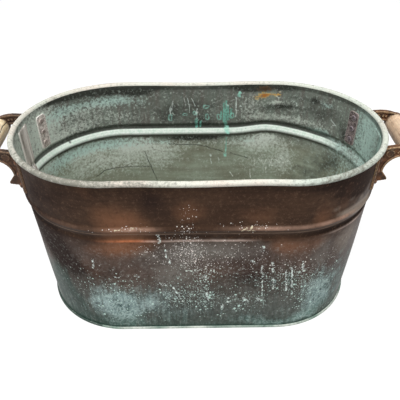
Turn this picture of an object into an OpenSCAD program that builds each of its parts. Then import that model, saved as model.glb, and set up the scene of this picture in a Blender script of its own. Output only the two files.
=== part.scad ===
// Oval copper wash boiler: a swaged wall of two lapped sheets, a wired rim and a folded bottom seam,
// with an iron bracket at each corner and a turned wooden grip that spins on a rod at each end.

/* [Body] */
// Length over the rolled rim
rim_length = 546; // [460:1:640]
// Width over the rolled rim
rim_width = 308; // [250:1:370]
// Width over the folded seam of the bottom
base_width = 269; // [220:1:310]
// Height from the ground to the top of the rim
body_height = 295; // [240:1:380]
// Thickness of the copper sheet
sheet_t = 0.8; // [0.5:0.1:1.4]

/* [Rim] */
// Diameter of the wire inside the rolled rim
wire_d = 6.4; // [4:0.2:9]
// How far the sheet curls round the wire, in degrees
curl_angle = 310; // [220:5:315]

/* [Swage] */
// Depth of the middle of the swage below the top of the rim
swage_drop = 89.5; // [80:0.5:120]
// Height of the groove and the ridge together
swage_h = 29; // [20:1:40]
// Depth of the groove, the lower half of the swage
groove_depth = 1.6; // [0.5:0.1:4]
// Height of the ridge, the upper half of the swage
ridge_height = 2.4; // [0.5:0.1:4]
// How far the wall steps out across the swage
swage_step = 1.8; // [0.5:0.1:5]
// How much wider the radius is at the rim than just above the swage
upper_flare = 1.2; // [0:0.1:4]

/* [Seams] */
// Width of the flange of the wall inside the bottom seam
flange_w = 1.8; // [1:0.1:5]
// Width of the lap where the two sheets meet at each end
lap_w = 22; // [10:1:35]
// Width of the step that carries the lap behind the other sheet
joggle_w = 3; // [2:0.5:6]
// Width of the solder run along the free edge of the lap
solder_w = 5; // [2:0.5:10]
// Room left between two layers of sheet
seam_gap = 0.15; // [0.1:0.05:0.3]

/* [Grip] */
// Length of the wooden grip
grip_length = 99; // [80:1:130]
// Diameter of the grip in the middle
grip_d = 33; // [26:0.5:38]
// Diameter of the grip at its ends
grip_end_d = 29.5; // [24:0.5:34]
// Distance from the outside of the rim to the axis of the grip
grip_reach = 38; // [34:0.5:55]
// Depth of the axis of the grip below the top of the rim
grip_drop = 29; // [26:0.5:40]
// Distance of the turned ring groove from each end of the grip
ring_inset = 13; // [8:0.5:20]
// Radius of the turned ring groove
ring_r = 1.4; // [0.8:0.1:2.5]
// Diameter of the iron rod through the grip
rod_d = 8; // [5:0.5:12]
// Room between the grip and each bracket
end_play = 0.5; // [0.3:0.1:1.5]
// Room all round the rod inside the grip
bore_play = 0.25; // [0.1:0.05:0.5]

/* [Bracket] */
// Thickness of the web of the arm
web_t = 4; // [3:0.5:6]
// Width of the bead along the edges of the arm, and of the boss
rib_w = 8; // [7:0.5:14]
// Height of the bead along the edges of the arm
bead_h = 3.2; // [2:0.2:6]
// Radius of the boss that holds the rod
boss_r = 14.5; // [10:0.5:20]
// Radius of the hollow under the arm
arch_r = 25; // [20:0.5:30]
// Distance of the middle of the hollow from the axis of the grip, towards the wall
arch_in = 22.5; // [18:0.5:28]
// Depth of the middle of the hollow below the axis of the grip
arch_down = 22; // [18:0.5:28]
// Height of the crest of the arm above the axis of the grip
crest_rise = 19; // [15:0.5:22]
// Distance of the crest from the axis of the grip, towards the wall
crest_in = 23; // [18:0.5:30]
// Radius of the crest line on the side of the wall
crest_wall_r = 120; // [80:1:200]
// Radius of the crest line on the side of the grip
crest_grip_r = 60; // [45:1:90]
// Distance of the tip of the spur from the axis of the grip, towards the wall
spur_in = 40.5; // [34:0.5:46]
// Depth of the tip of the spur below the axis of the grip
spur_down = 35.2; // [30:0.1:42]
// Radius of the tip of the spur
spur_r = 2.4; // [1:0.2:4]
// Width of the foot that lies on the wall
foot_w = 24; // [18:0.5:32]
// Thickness of the foot
foot_t = 3; // [2:0.5:5]
// Radius of the corners of the foot
foot_corner_r = 5; // [1:0.5:8]
// Room between the foot and the rolled rim above it
foot_margin = 8; // [1:0.5:12]
// Room between the swage and the foot above it
foot_lift = 1.2; // [0.5:0.1:4]
// Width of the plate inside the wall
pad_w = 18.5; // [14:0.5:28]
// Thickness of the plate inside the wall
pad_t = 1.5; // [0.8:0.1:3]
// Diameter of the rivets
rivet_d = 4.5; // [3:0.5:6]
// Distance of the first and last rivet from the ends of the foot
rivet_edge = 10; // [6:0.5:14]
// Diameter of the rivet heads
rivet_head_d = 9; // [7:0.5:12]
// Diameter of the peened heads of the rod
rod_head_d = 12.8; // [10:0.2:18]
// Height of the domed heads of the rivets and of the rod
dome_h = 2.6; // [1.5:0.1:4]
// Room round a rivet, under its heads and round the rod in the boss
fit_gap = 0.1; // [0.05:0.05:0.2]

/* [Relief] */
// Height of the cast scrolls on each face of the arm
relief_h = 1.4; // [0.6:0.1:2]
// Radius of the large scroll, next to the wall
scroll_r = 6.8; // [5:0.1:8]
// Radius of the small scroll, above the hollow
small_scroll_r = 4.8; // [3.5:0.1:6]
// Width of the ribbon at the outer end of the large scroll
ribbon_w = 2.2; // [1.4:0.1:3]
// Radius of the larger of the two pearls beside the small scroll
pearl_r = 2; // [1:0.1:2.5]

/* [Hidden] */
$fn = 96;

// Finishes
copper_brown = "#7a5140";
verdigris = "#7d9a92";
iron_brown = "#4b3427";
solder_grey = "#b8b4ab";
wood_cream = "#e6cc9d";

// Plan: two half rounds about end_x and -end_x, joined by straight sides
end_x = (rim_length - rim_width) / 2;
rim_r = rim_width / 2;

// Rolled rim
wire_seat_r = wire_d / 2 + seam_gap;
roll_r = wire_seat_r + sheet_t;
roll_c = rim_r - roll_r;
roll_z = body_height - roll_r;
curl_steps = 30;

// Wall: outside radii of the lower wall, the upper wall and the wall at the rim
hem_r = base_width / 2;
seat_z = sheet_t + seam_gap;
foot_r = hem_r - sheet_t - seam_gap - flange_w;
top_r = roll_c - wire_seat_r;
upper_r = top_r - upper_flare;
lower_r = upper_r - swage_step;
swage_lo = body_height - swage_drop - swage_h / 2;
swage_hi = swage_lo + swage_h;
swage_steps = 20;
wall_heights = concat(
    [seat_z],
    [for (i = [0:swage_steps]) mix(swage_lo, swage_hi, i / swage_steps)],
    [roll_z]
);

// Bottom seam: the edge of the bottom is turned up round the flange and folded in over it
hem_h = 3 * sheet_t + 2 * seam_gap;
fold_w = flange_w - seam_gap;

// Lap seam at each end
lap_angle = lap_w / top_r * 180 / PI;
joggle_angle = joggle_w / top_r * 180 / PI;
solder_angle = solder_w / top_r * 180 / PI;
lap_bottom = seat_z + hem_h;
lap_top = roll_z - 2 * roll_r;
lap_heights = [for (z = wall_heights) min(max(z, lap_bottom), lap_top)];
lap_in = sheet_t + seam_gap;

// Foot, plate and rivets fill the plain band of the wall between the swage and the rim
foot_top = roll_z - roll_r - foot_margin;
foot_bottom = swage_hi + foot_lift;
foot_h = foot_top - foot_bottom;
rivet_count = 3;
rivet_zs = [
    for (i = [0:rivet_count - 1]) mix(foot_bottom + rivet_edge, foot_top - rivet_edge, i / (rivet_count - 1))
];

// Bracket, measured from the centre of the round end: x outwards, z up
web_y = grip_length / 2 + end_play;
rivet_y = web_y + foot_w / 2;
rivet_angle = asin(rivet_y / top_r);
grip_axis = [rim_r + grip_reach, body_height - grip_drop];
arch_c = grip_axis - [arch_in, arch_down];
crest = grip_axis + [-crest_in, crest_rise];
spur_c = grip_axis - [spur_in, spur_down];
// Upright line well inside the wall, where the drawings of the bracket start before they are cut to the wall
root_x = sqrt(pow(lower_r, 2) - pow(web_y + rib_w, 2)) - foot_w;

// Relief: where the scrolls and pearls stand round the hollow, in degrees, and how far a ribbon winds in
scroll_at = 125;
small_scroll_at = 100;
pearls_at = [86, 77];
scroll_turns = 1.6;
scroll_steps = 40;

function mix(a, b, t) = a + (b - a) * t;

function smooth(t) = t * t * (3 - 2 * t);

function reverse(list) = [for (i = [len(list) - 1:-1:0]) list[i]];

function arc(centre, radius, from, to, steps) =
    [for (i = [0:steps]) let (a = mix(from, to, i / steps)) centre + radius * [cos(a), sin(a)]];

// The swage: a groove, then a ridge, each a smooth swell across half of the height
function swage_swell(t) = (t < 0.5 ? -groove_depth : ridge_height) * pow(sin(360 * t), 2);

// Outside radius of the wall at a height
function wall_r(z) =
    z < swage_lo ? mix(foot_r, lower_r, (z - seat_z) / (swage_lo - seat_z)) :
    z > swage_hi ? mix(upper_r, top_r, (z - swage_hi) / (roll_z - swage_hi)) :
    let (t = (z - swage_lo) / swage_h) mix(lower_r, upper_r, smooth(t)) + swage_swell(t);

// Points along the wall, moved in from its outside
function wall_line(heights, inset) = [for (z = heights) [wall_r(z) - inset, z]];

// A layer that follows the wall between two depths below its outside
module wall_layer(heights, outer_inset, inner_inset) {
    polygon(concat(wall_line(heights, outer_inset), reverse(wall_line(heights, inner_inset))));
}

// Section of a body sheet: flange, wall and curl
module sheet_section() {
    polygon(concat(
        [[foot_r - sheet_t, seat_z], [foot_r + flange_w, seat_z], [foot_r + flange_w, seat_z + sheet_t]],
        [for (z = wall_heights) [wall_r(max(z, seat_z + sheet_t)), max(z, seat_z + sheet_t)]],
        arc([roll_c, roll_z], wire_seat_r, 180, 180 - curl_angle, curl_steps),
        arc([roll_c, roll_z], roll_r, 180 - curl_angle, 180, curl_steps),
        reverse(wall_line(wall_heights, sheet_t))
    ));
}

// Runs a section round the whole plan
module run_round() {
    for (turn = [0, 180]) rotate([0, 0, turn]) {
        translate([end_x, 0, 0]) rotate([0, 0, -90]) rotate_extrude(angle = 180) children();
        translate([-end_x, 0, 0]) rotate([90, 0, 90]) linear_extrude(2 * end_x) children();
    }
}

// Runs a section round the back half of the plan
module run_back_half() {
    translate([end_x, 0, 0]) rotate_extrude(angle = 90) children();
    translate([-end_x, 0, 0]) rotate([90, 0, 90]) linear_extrude(2 * end_x) children();
    translate([-end_x, 0, 0]) rotate([0, 0, 90]) rotate_extrude(angle = 90) children();
}

// Runs a section through part of the right end
module run_right_end(from, to) {
    translate([end_x, 0, 0]) rotate([0, 0, from]) rotate_extrude(angle = to - from) children();
}

// Sets a piece made for the right back corner at another corner: side is -1 left, face is -1 front
module at_corner(side, face) {
    mirror([side < 0 ? 1 : 0, 0, 0]) mirror([0, face < 0 ? 1 : 0, 0]) translate([end_x, 0, 0]) children();
}

// Sets a piece made along +Z at each rivet of the right back corner, pointing out of the wall
module at_rivets() {
    for (z = rivet_zs) rotate([0, 0, rivet_angle]) translate([wall_r(z), 0, z]) rotate([0, 90, 0]) children();
}

module rivet_holes() {
    hole_l = 2 * (foot_t + pad_t + sheet_t + dome_h);
    at_rivets() cylinder(d = rivet_d + 2 * fit_gap, h = hole_l, center = true);
}

// Half of the body; the other half is the same sheet turned round
module body_sheet() {
    difference() {
        union() {
            run_back_half() sheet_section();
            run_right_end(0, joggle_angle) wall_layer(lap_heights, 0, lap_in + sheet_t);
            run_right_end(-lap_angle, joggle_angle) wall_layer(lap_heights, lap_in, lap_in + sheet_t);
        }
        for (side = [-1, 1]) at_corner(side, 1) rivet_holes();
    }
}

module front_sheet() {
    color(copper_brown) rotate([0, 0, 180]) body_sheet();
}

module back_sheet() {
    color(copper_brown) body_sheet();
}

// The bottom, with its edge turned up and folded over the flange of the wall
module bottom_sheet() {
    fold_r = hem_r - sheet_t - fold_w;
    color(verdigris) run_round() polygon([
        [0, 0], [hem_r, 0], [hem_r, hem_h], [fold_r, hem_h], [fold_r, hem_h - sheet_t],
        [hem_r - sheet_t, hem_h - sheet_t], [hem_r - sheet_t, sheet_t], [0, sheet_t]
    ]);
}

module rim_wire() {
    color(iron_brown) run_round() translate([roll_c, roll_z]) circle(d = wire_d);
}

// Solder along the free edge of a lap
module seam_solder() {
    run_right_end(-lap_angle - solder_angle, -lap_angle) wall_layer(lap_heights, lap_in, lap_in + sheet_t);
}

module left_seam_solder() {
    color(solder_grey) rotate([0, 0, 180]) seam_solder();
}

module right_seam_solder() {
    color(solder_grey) seam_solder();
}

// The space inside the wall of the right end, grown by a gap
module wall_space(gap) {
    rotate_extrude() polygon(concat([[0, seat_z]], wall_line(wall_heights, -gap), [[0, roll_z]]));
}

// A rectangle with rounded corners, by its lower left corner
module rounded_rectangle(size, corner_r) {
    translate([corner_r, 0]) square([size.x - 2 * corner_r, size.y]);
    translate([0, corner_r]) square([size.x, size.y - 2 * corner_r]);
    for (x = [corner_r, size.x - corner_r], y = [corner_r, size.y - corner_r])
        translate([x, y]) circle(corner_r);
}

// A curved plate that lies along the wall of the right end, between two depths below its outside
module plate_on_wall(width, outer_inset, inner_inset) {
    band = [swage_hi, roll_z];
    intersection() {
        rotate_extrude(angle = 90) wall_layer(band, outer_inset, inner_inset);
        translate([0, rivet_y - width / 2, foot_bottom]) rotate([90, 0, 90])
            linear_extrude(rim_r) rounded_rectangle([width, foot_h], foot_corner_r);
    }
}

// Upright plate of a given thickness from a drawing in x and z
module upright(y, thickness) {
    translate([0, y + thickness, 0]) rotate([90, 0, 0]) linear_extrude(thickness) children();
}

// The part of a drawing between two values of x
module between(x_from, x_to) {
    intersection() {
        children();
        translate([x_from, 0]) square([x_to - x_from, 2 * body_height]);
    }
}

// Everything under the line of the crest, which falls gently to the wall and faster to the grip
module under_crest(inset) {
    between(root_x, crest.x) translate(crest - [0, crest_wall_r]) circle(crest_wall_r - inset);
    between(root_x, grip_axis.x) translate(crest - [0, crest_grip_r]) circle(crest_grip_r - inset);
}

// The arm above the hollow, without its boss
module arm_drawing(inset) {
    difference() {
        intersection() {
            under_crest(inset);
            translate([root_x, arch_c.y]) square([2 * rim_r, body_height]);
        }
        translate(arch_c) circle(arch_r + inset);
    }
}

// The leg below the hollow, ending in a blunt spur
module leg_drawing() {
    neck_x = arch_c.x - arch_r;
    polygon([
        [root_x, arch_c.y], [neck_x, arch_c.y], spur_c + spur_r * [cos(45), sin(45)],
        spur_c - [0, spur_r], [root_x, foot_bottom]
    ]);
    translate(spur_c) circle(spur_r);
}

// The beads along the crest and round the hollow
module bead_drawing() {
    difference() {
        arm_drawing(0);
        arm_drawing(bead_h);
    }
}

// A point above the bead of the hollow, at an angle round it
function over_hollow(angle, rise) = arch_c + (arch_r + bead_h + rise) * [cos(angle), sin(angle)];

// One edge of a ribbon that winds in from a radius to an eye and narrows by half; edge is 0 outside, 1 inside
function ribbon_edge(radius, width, start, edge) = [
    for (i = [0:scroll_steps])
        let (t = i / scroll_steps, a = start + 360 * scroll_turns * t)
        (mix(radius, width, t) - edge * mix(width, width / 2, t)) * [cos(a), sin(a)]
];

module scroll(radius, width, start) {
    polygon(concat(ribbon_edge(radius, width, start, 0), reverse(ribbon_edge(radius, width, start, 1))));
    circle(width * 0.8);
}

// Cast ornament of the arm: two scrolls that face each other, and two pearls
module relief_drawing() {
    small_ribbon_w = ribbon_w * small_scroll_r / scroll_r;
    translate(over_hollow(scroll_at, scroll_r)) scroll(scroll_r, ribbon_w, scroll_at - 120);
    translate(over_hollow(small_scroll_at, small_scroll_r))
        scroll(small_scroll_r, small_ribbon_w, small_scroll_at + 90);
    for (i = [0:len(pearls_at) - 1])
        translate(over_hollow(pearls_at[i], small_scroll_r)) circle(pearl_r * (1 - 0.2 * i));
}

// Iron bracket of the right back corner
module bracket() {
    difference() {
        union() {
            plate_on_wall(foot_w, -fit_gap - foot_t, 0);
            upright(web_y + (rib_w - web_t) / 2, web_t) {
                arm_drawing(0);
                leg_drawing();
            }
            upright(web_y + (rib_w - web_t) / 2 - relief_h, web_t + 2 * relief_h) relief_drawing();
            upright(web_y, rib_w) {
                bead_drawing();
                translate(grip_axis) circle(boss_r);
            }
        }
        wall_space(fit_gap);
        rivet_holes();
        upright(0, 2 * rim_r) translate(grip_axis) circle(d = rod_d + 2 * fit_gap);
    }
}

module left_front_bracket() {
    color(iron_brown) at_corner(-1, -1) bracket();
}

module left_back_bracket() {
    color(iron_brown) at_corner(-1, 1) bracket();
}

module right_front_bracket() {
    color(iron_brown) at_corner(1, -1) bracket();
}

module right_back_bracket() {
    color(iron_brown) at_corner(1, 1) bracket();
}

// Plate inside the wall that spreads the load of the rivets
module inside_plate() {
    pad_in = sheet_t + fit_gap;
    difference() {
        plate_on_wall(pad_w, pad_in, pad_in + pad_t);
        rivet_holes();
    }
}

module left_front_plate() {
    color(solder_grey) at_corner(-1, -1) inside_plate();
}

module left_back_plate() {
    color(solder_grey) at_corner(-1, 1) inside_plate();
}

module right_front_plate() {
    color(solder_grey) at_corner(1, -1) inside_plate();
}

module right_back_plate() {
    color(solder_grey) at_corner(1, 1) inside_plate();
}

// A domed head that stands on z = 0
module dome(diameter, height) {
    ball_r = (pow(diameter / 2, 2) + pow(height, 2)) / (2 * height);
    intersection() {
        translate([0, 0, height - ball_r]) sphere(ball_r);
        cylinder(d = diameter, h = height);
    }
}

// The rivets of one bracket: domed outside, flat inside
module rivets() {
    outer_seat = foot_t + 3 * fit_gap;
    inner_seat = sheet_t + pad_t + 4 * fit_gap;
    flat_h = dome_h / 2;
    at_rivets() {
        translate([0, 0, -inner_seat]) cylinder(d = rivet_d, h = inner_seat + outer_seat);
        translate([0, 0, outer_seat]) dome(rivet_head_d, dome_h);
        translate([0, 0, -inner_seat - flat_h]) cylinder(d = rivet_head_d, h = flat_h);
    }
}

module left_front_rivets() {
    color(iron_brown) at_corner(-1, -1) rivets();
}

module left_back_rivets() {
    color(iron_brown) at_corner(-1, 1) rivets();
}

module right_front_rivets() {
    color(iron_brown) at_corner(1, -1) rivets();
}

module right_back_rivets() {
    color(iron_brown) at_corner(1, 1) rivets();
}

// Sets a piece made along +Z on the axis of a grip: side is -1 left, 1 right
module on_grip_axis(side) {
    translate([side * (end_x + grip_axis.x), 0, grip_axis.y]) rotate([90, 0, 0]) children();
}

// Rod through both brackets, peened over at each end
module grip_rod() {
    reach = web_y + rib_w + fit_gap;
    cylinder(d = rod_d, h = 2 * reach, center = true);
    for (turn = [0, 180]) rotate([turn, 0, 0]) translate([0, 0, reach]) dome(rod_head_d, dome_h);
}

module left_grip_rod() {
    color(iron_brown) on_grip_axis(-1) grip_rod();
}

module right_grip_rod() {
    color(iron_brown) on_grip_axis(1) grip_rod();
}

// Turned grip: a barrel with a ring groove near each end, bored for the rod
module turned_grip() {
    half = grip_length / 2;
    swell = (grip_d - grip_end_d) / 2;
    barrel_r = (pow(half, 2) + pow(swell, 2)) / (2 * swell);
    bore_r = rod_d / 2 + bore_play;
    ring_z = half - ring_inset;
    ring_x = grip_d / 2 - barrel_r + sqrt(pow(barrel_r, 2) - pow(ring_z, 2));
    rotate_extrude() difference() {
        intersection() {
            translate([grip_d / 2 - barrel_r, 0]) circle(barrel_r, $fn = 8 * $fn);
            translate([bore_r, -half]) square([grip_d, grip_length]);
        }
        for (end = [-1, 1]) translate([ring_x, end * ring_z]) circle(ring_r);
    }
}

module left_grip() {
    color(wood_cream) on_grip_axis(-1) turned_grip();
}

module right_grip() {
    color(wood_cream) on_grip_axis(1) turned_grip();
}

front_sheet();
back_sheet();
bottom_sheet();
rim_wire();
left_seam_solder();
right_seam_solder();
left_front_bracket();
left_back_bracket();
right_front_bracket();
right_back_bracket();
left_front_plate();
left_back_plate();
right_front_plate();
right_back_plate();
left_front_rivets();
left_back_rivets();
right_front_rivets();
right_back_rivets();
left_grip_rod();
right_grip_rod();
left_grip();
right_grip();
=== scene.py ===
# %% [markdown]
# # An old copper wash boiler
#
# This lesson dresses a finished construction model: an oval copper tub with a rolled rim, a swage
# (a pressed groove and ridge) round the wall, a folded bottom seam, and a wooden grip on two iron
# brackets at each end. The construction gives every size and place. Here we give the tub its age:
# brown and green copper, limed edges, rusty iron and bare wood.

# %% The frame
import math

import bmesh
import bpy
import numpy as np
from mathutils import Matrix, Vector, noise


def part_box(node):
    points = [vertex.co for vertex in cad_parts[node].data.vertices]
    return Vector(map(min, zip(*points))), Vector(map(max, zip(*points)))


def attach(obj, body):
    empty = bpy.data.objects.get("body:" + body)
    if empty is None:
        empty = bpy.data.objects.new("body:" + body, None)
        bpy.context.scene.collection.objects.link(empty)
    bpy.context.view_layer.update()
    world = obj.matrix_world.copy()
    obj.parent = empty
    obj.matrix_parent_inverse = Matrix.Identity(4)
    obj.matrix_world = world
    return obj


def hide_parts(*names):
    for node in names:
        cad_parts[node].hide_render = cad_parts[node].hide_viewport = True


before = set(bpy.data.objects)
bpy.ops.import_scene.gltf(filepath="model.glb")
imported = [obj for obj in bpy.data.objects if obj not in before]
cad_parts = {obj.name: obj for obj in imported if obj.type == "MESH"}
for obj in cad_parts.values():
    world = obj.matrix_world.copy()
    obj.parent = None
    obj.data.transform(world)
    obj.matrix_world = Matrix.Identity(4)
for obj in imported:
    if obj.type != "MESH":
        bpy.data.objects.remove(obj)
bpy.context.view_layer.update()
MM = 0.001

# %% [markdown]
# ## Helpers
#
# Colours are easiest to pick as sRGB hex values, but shaders work in linear light, so one function
# turns one into the other. A second one adds a shader node: a socket among its inputs is linked,
# any other value is set. A third turns a size in millimetres into the scale of a texture.

# %% Colour, nodes and scale


def linear(hex_colour):
    """An sRGB colour such as "#C9D8CF" as the linear RGBA that shader sockets take."""
    parts = [int(hex_colour[i:i + 2], 16) / 255 for i in (1, 3, 5)]
    return [c / 12.92 if c <= 0.04045 else ((c + 0.055) / 1.055) ** 2.4 for c in parts] + [1.0]


def node(tree, kind, inputs=None, **settings):
    """Adds a node with its settings; an input that is a socket is linked, any other is set."""
    made = tree.nodes.new("ShaderNode" + kind)
    for name, value in settings.items():
        setattr(made, name, value)
    for socket, value in (inputs or {}).items():
        if isinstance(value, bpy.types.NodeSocket):
            tree.links.new(value, made.inputs[socket])
        else:
            made.inputs[socket].default_value = value
    return made


def per(size_mm):
    """The texture scale that gives one feature in about that many millimetres."""
    return 1 / (size_mm * MM)


print("a mid grey in linear light:", round(linear("#808080")[0], 3))

# %% [markdown]
# ## The camera
#
# The photograph looks down into the tub from less than a metre away. A camera can be placed by eye,
# but here its place, the point it looks at and a slight roll were worked out from the outlines of
# the rim and the base, so that the render can be laid over the photograph.

# %% Camera
CAMERA_AT = Vector((-4.0, -655.7, 637.2)) * MM
LOOKS_AT = Vector((2.1, 0.0, 154.8)) * MM
CAMERA_ROLL = math.radians(-0.34)
LENS, SENSOR = 45.0, 36.0

camera_data = bpy.data.cameras.new("camera")
camera_data.lens = LENS
camera_data.sensor_width = SENSOR
camera = bpy.data.objects.new("camera", camera_data)
turn = (LOOKS_AT - CAMERA_AT).to_track_quat("-Z", "Y").to_matrix().to_4x4()
camera.matrix_world = Matrix.Translation(CAMERA_AT) @ turn @ Matrix.Rotation(CAMERA_ROLL, 4, "Z")
bpy.context.scene.collection.objects.link(camera)
bpy.context.scene.camera = camera
print("the camera is", round((LOOKS_AT - CAMERA_AT).length / MM), "mm from the middle of the tub")

# %% [markdown]
# ## White all round
#
# The background is white. Flooding the tub with light would wash out its colours, so the world and
# the floor are white only to rays that look at them or mirror them, and light the tub at a plain
# level. The paper on the floor is a light grey that throws little light up at the tub. A glow that
# only those rays see brings it up to white, and the share of its own shading that is left keeps a
# soft shadow under the tub.

# %% World and floor
WORLD_LIGHT = 0.3
FLOOR_SIZE = 14.0
PAPER_GREY = "#B4B4B4"
GLOW_SHARE, GLOW_STRENGTH = 0.7, 1.34
WHITE = linear("#FFFFFF")


def seen_directly(tree):
    """1 for rays that look at a surface, mirror it or see it through glass, 0 for the light it gives."""
    path = node(tree, "LightPath").outputs
    looked_at, mirrored, through = path["Is Camera Ray"], path["Is Glossy Ray"], path["Is Transmission Ray"]
    seen = node(tree, "Math", {0: looked_at, 1: mirrored}, operation="MAXIMUM").outputs[0]
    return node(tree, "Math", {0: seen, 1: through}, operation="MAXIMUM").outputs[0]


world = bpy.data.worlds.new("studio")
bpy.context.scene.world = world
world.use_nodes = True
tree = world.node_tree
tree.nodes.clear()
levels = {"To Min": WORLD_LIGHT, "To Max": 1.0}
strength = node(tree, "MapRange", {"Value": seen_directly(tree), **levels}).outputs[0]
light = node(tree, "Background", {"Color": WHITE, "Strength": strength})
node(tree, "OutputWorld", {"Surface": light.outputs[0]})

bpy.ops.mesh.primitive_plane_add(size=FLOOR_SIZE)
floor = bpy.context.object
floor.name = "floor"
white_paper = bpy.data.materials.new("white_paper_matte")
white_paper.use_nodes = True
tree = white_paper.node_tree
tree.nodes.clear()
paper = node(tree, "BsdfDiffuse", {"Color": linear(PAPER_GREY)})
glow = node(tree, "Emission", {"Color": WHITE, "Strength": GLOW_STRENGTH})
share = node(tree, "Math", {0: seen_directly(tree), 1: GLOW_SHARE}, operation="MULTIPLY").outputs[0]
floor_mix = node(tree, "MixShader", {0: share, 1: paper.outputs[0], 2: glow.outputs[0]})
node(tree, "OutputMaterial", {"Surface": floor_mix.outputs[0]})
floor.data.materials.append(white_paper)
print("floor of", FLOOR_SIZE, "m, world light", WORLD_LIGHT)

# %% [markdown]
# ## Soft lamps
#
# Light in the photograph comes from high up and a little in front. It makes the faces that look up,
# the ledge inside and the shoulders of the swage outside, much brighter than the upright wall. One
# large lamp above does that, and two weak ones at the sides open the shadows.

# %% Lamps
# Each lamp: name, place and size in metres, and power in watts
LAMPS = [
    ("lamp_above", (-0.15, -0.75, 1.95), 1.2, 36.0),
    ("lamp_left", (-1.7, -1.2, 0.9), 1.0, 6.0),
    ("lamp_right", (1.8, -0.8, 1.0), 1.0, 5.0),
]
LAMPS_AIM = Vector((0.0, 0.0, 0.16))

for name, place, size, power in LAMPS:
    lamp_data = bpy.data.lights.new(name, "AREA")
    lamp_data.size = size
    lamp_data.energy = power
    lamp = bpy.data.objects.new(name, lamp_data)
    lamp.location = place
    lamp.rotation_euler = (LAMPS_AIM - Vector(place)).to_track_quat("-Z", "Y").to_euler()
    bpy.context.scene.collection.objects.link(lamp)

bpy.context.scene.view_settings.view_transform = "Standard"
print("lamps:", [lamp[0] for lamp in LAMPS])

# %% [markdown]
# ## Plan and section
#
# A tinsmith lays out such a tub with two drawings: the plan, two half rounds joined by straight
# sides, and the section of the sheet, which is carried along the plan. We do the same. The overall
# sizes come from the frame; the swage, the roll and the sheet have sizes of their own.

# %% Sizes of the body
sheet_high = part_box("back_sheet")[1]
bottom_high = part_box("bottom_sheet")[1]
RIM_R = sheet_high.y
END_X = sheet_high.x - RIM_R
RIM_TOP = sheet_high.z
HEM_R = bottom_high.y
HEM_H = bottom_high.z
# Sizes that the boxes of the frame don't give
SHEET = 0.8 * MM
SEAM_GAP = 0.15 * MM
WIRE_R = 3.2 * MM
CURL = math.radians(310)
SWAGE_LOW = 191 * MM
SWAGE_H = 29 * MM
GROOVE = 1.6 * MM
RIDGE = 2.4 * MM
SWAGE_STEP = 1.8 * MM
UPPER_FLARE = 1.2 * MM
FLANGE = 1.8 * MM

WIRE_SEAT = WIRE_R + SEAM_GAP
ROLL_R = WIRE_SEAT + SHEET
ROLL_C = RIM_R - ROLL_R
ROLL_Z = RIM_TOP - ROLL_R
SEAT_Z = SHEET + SEAM_GAP
FOOT_R = HEM_R - SHEET - SEAM_GAP - FLANGE
TOP_R = ROLL_C - WIRE_SEAT
UPPER_R = TOP_R - UPPER_FLARE
LOWER_R = UPPER_R - SWAGE_STEP
SWAGE_HIGH = SWAGE_LOW + SWAGE_H
print("straight sides of", round(2 * END_X / MM), "mm between round ends of radius", round(RIM_R / MM), "mm")

# %% [markdown]
# The section is a function of the height, as a template would be: a taper below, the swage, and a
# nearly upright band above. The plan is a row of stations, each a centre on the long axis and the
# direction that points out of the wall there.

# %% Plan and section


def wall_radius(z):
    """Outside radius of the wall at the heights z: a taper, the swage, and the upper band."""
    t = np.clip((z - SWAGE_LOW) / SWAGE_H, 0, 1)
    swell = np.where(t < 0.5, -GROOVE, RIDGE) * np.sin(2 * math.pi * t) ** 2
    below = FOOT_R + (LOWER_R - FOOT_R) * (z - SEAT_Z) / (SWAGE_LOW - SEAT_Z)
    above = UPPER_R + UPPER_FLARE * (z - SWAGE_HIGH) / (ROLL_Z - SWAGE_HIGH)
    middle = LOWER_R + SWAGE_STEP * t * t * (3 - 2 * t) + swell
    return np.where(z < SWAGE_LOW, below, np.where(z > SWAGE_HIGH, above, middle))


def steps(start, *stretches):
    """Values from a start through stretches, each given as its end and its step."""
    values = [start]
    for end, step in stretches:
        values += np.linspace(values[-1], end, max(2, round((end - values[-1]) / step) + 1))[1:].tolist()
    return np.array(values)


def half_plan(side_step, end_step, turn=0.0):
    """Stations round half of the plan: rows of centre x and of the direction out of the wall."""
    ends = np.linspace(0, math.pi / 2, round(RIM_R * math.pi / 2 / end_step) + 1)
    side = np.linspace(END_X, -END_X, round(2 * END_X / side_step) + 1)[1:-1]
    centre = np.concatenate([np.full(len(ends), END_X), side, np.full(len(ends), -END_X)])
    angle = np.concatenate([ends, np.full(len(side), math.pi / 2), ends + math.pi / 2])
    return np.stack([centre * math.cos(turn), np.cos(angle + turn), np.sin(angle + turn)], 1)


def end_plan(start, stop, count, turn=0.0):
    """Stations round part of the right end, from angle to angle, or of the left end with a half turn."""
    angle = np.linspace(start, stop, count) + turn
    return np.stack([np.full(count, END_X * math.cos(turn)), np.cos(angle), np.sin(angle)], 1)


# Heights of the rows of faces below the swage, on it and above it
ROW_BELOW, ROW_SWAGE, ROW_ABOVE = 3.5 * MM, 1.0 * MM, 3.0 * MM
SWAGE_ROWS = (SWAGE_LOW - 4 * MM, SWAGE_HIGH + 2 * MM)
wall_rows = steps(SEAT_Z, (SWAGE_ROWS[0], ROW_BELOW), (SWAGE_ROWS[1], ROW_SWAGE), (ROLL_Z, ROW_ABOVE))
print("the wall has", len(wall_rows), "rows up to", round(ROLL_Z / MM, 1), "mm")

# %% [markdown]
# ## Dents
#
# A hundred years of use leave no sheet flat. A sculptor would push dents in by hand; we add a few
# long waves of seeded random direction, so the wall ripples by half a millimetre, and then the
# dents that the photograph shows: the rim sags in the middle of each long side, and the back wall
# bows and lifts its ledge. The movement fades out where the brackets and the bottom seam hold.

# %% Movement of the sheet
RIPPLES, RIPPLE_SEED = 10, 7
RIPPLE_LENGTH = (60 * MM, 170 * MM)
RIPPLE_DEPTH = 0.45 * MM
RIM_SAG, SAG_FROM = 2.0 * MM, 230 * MM
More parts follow.
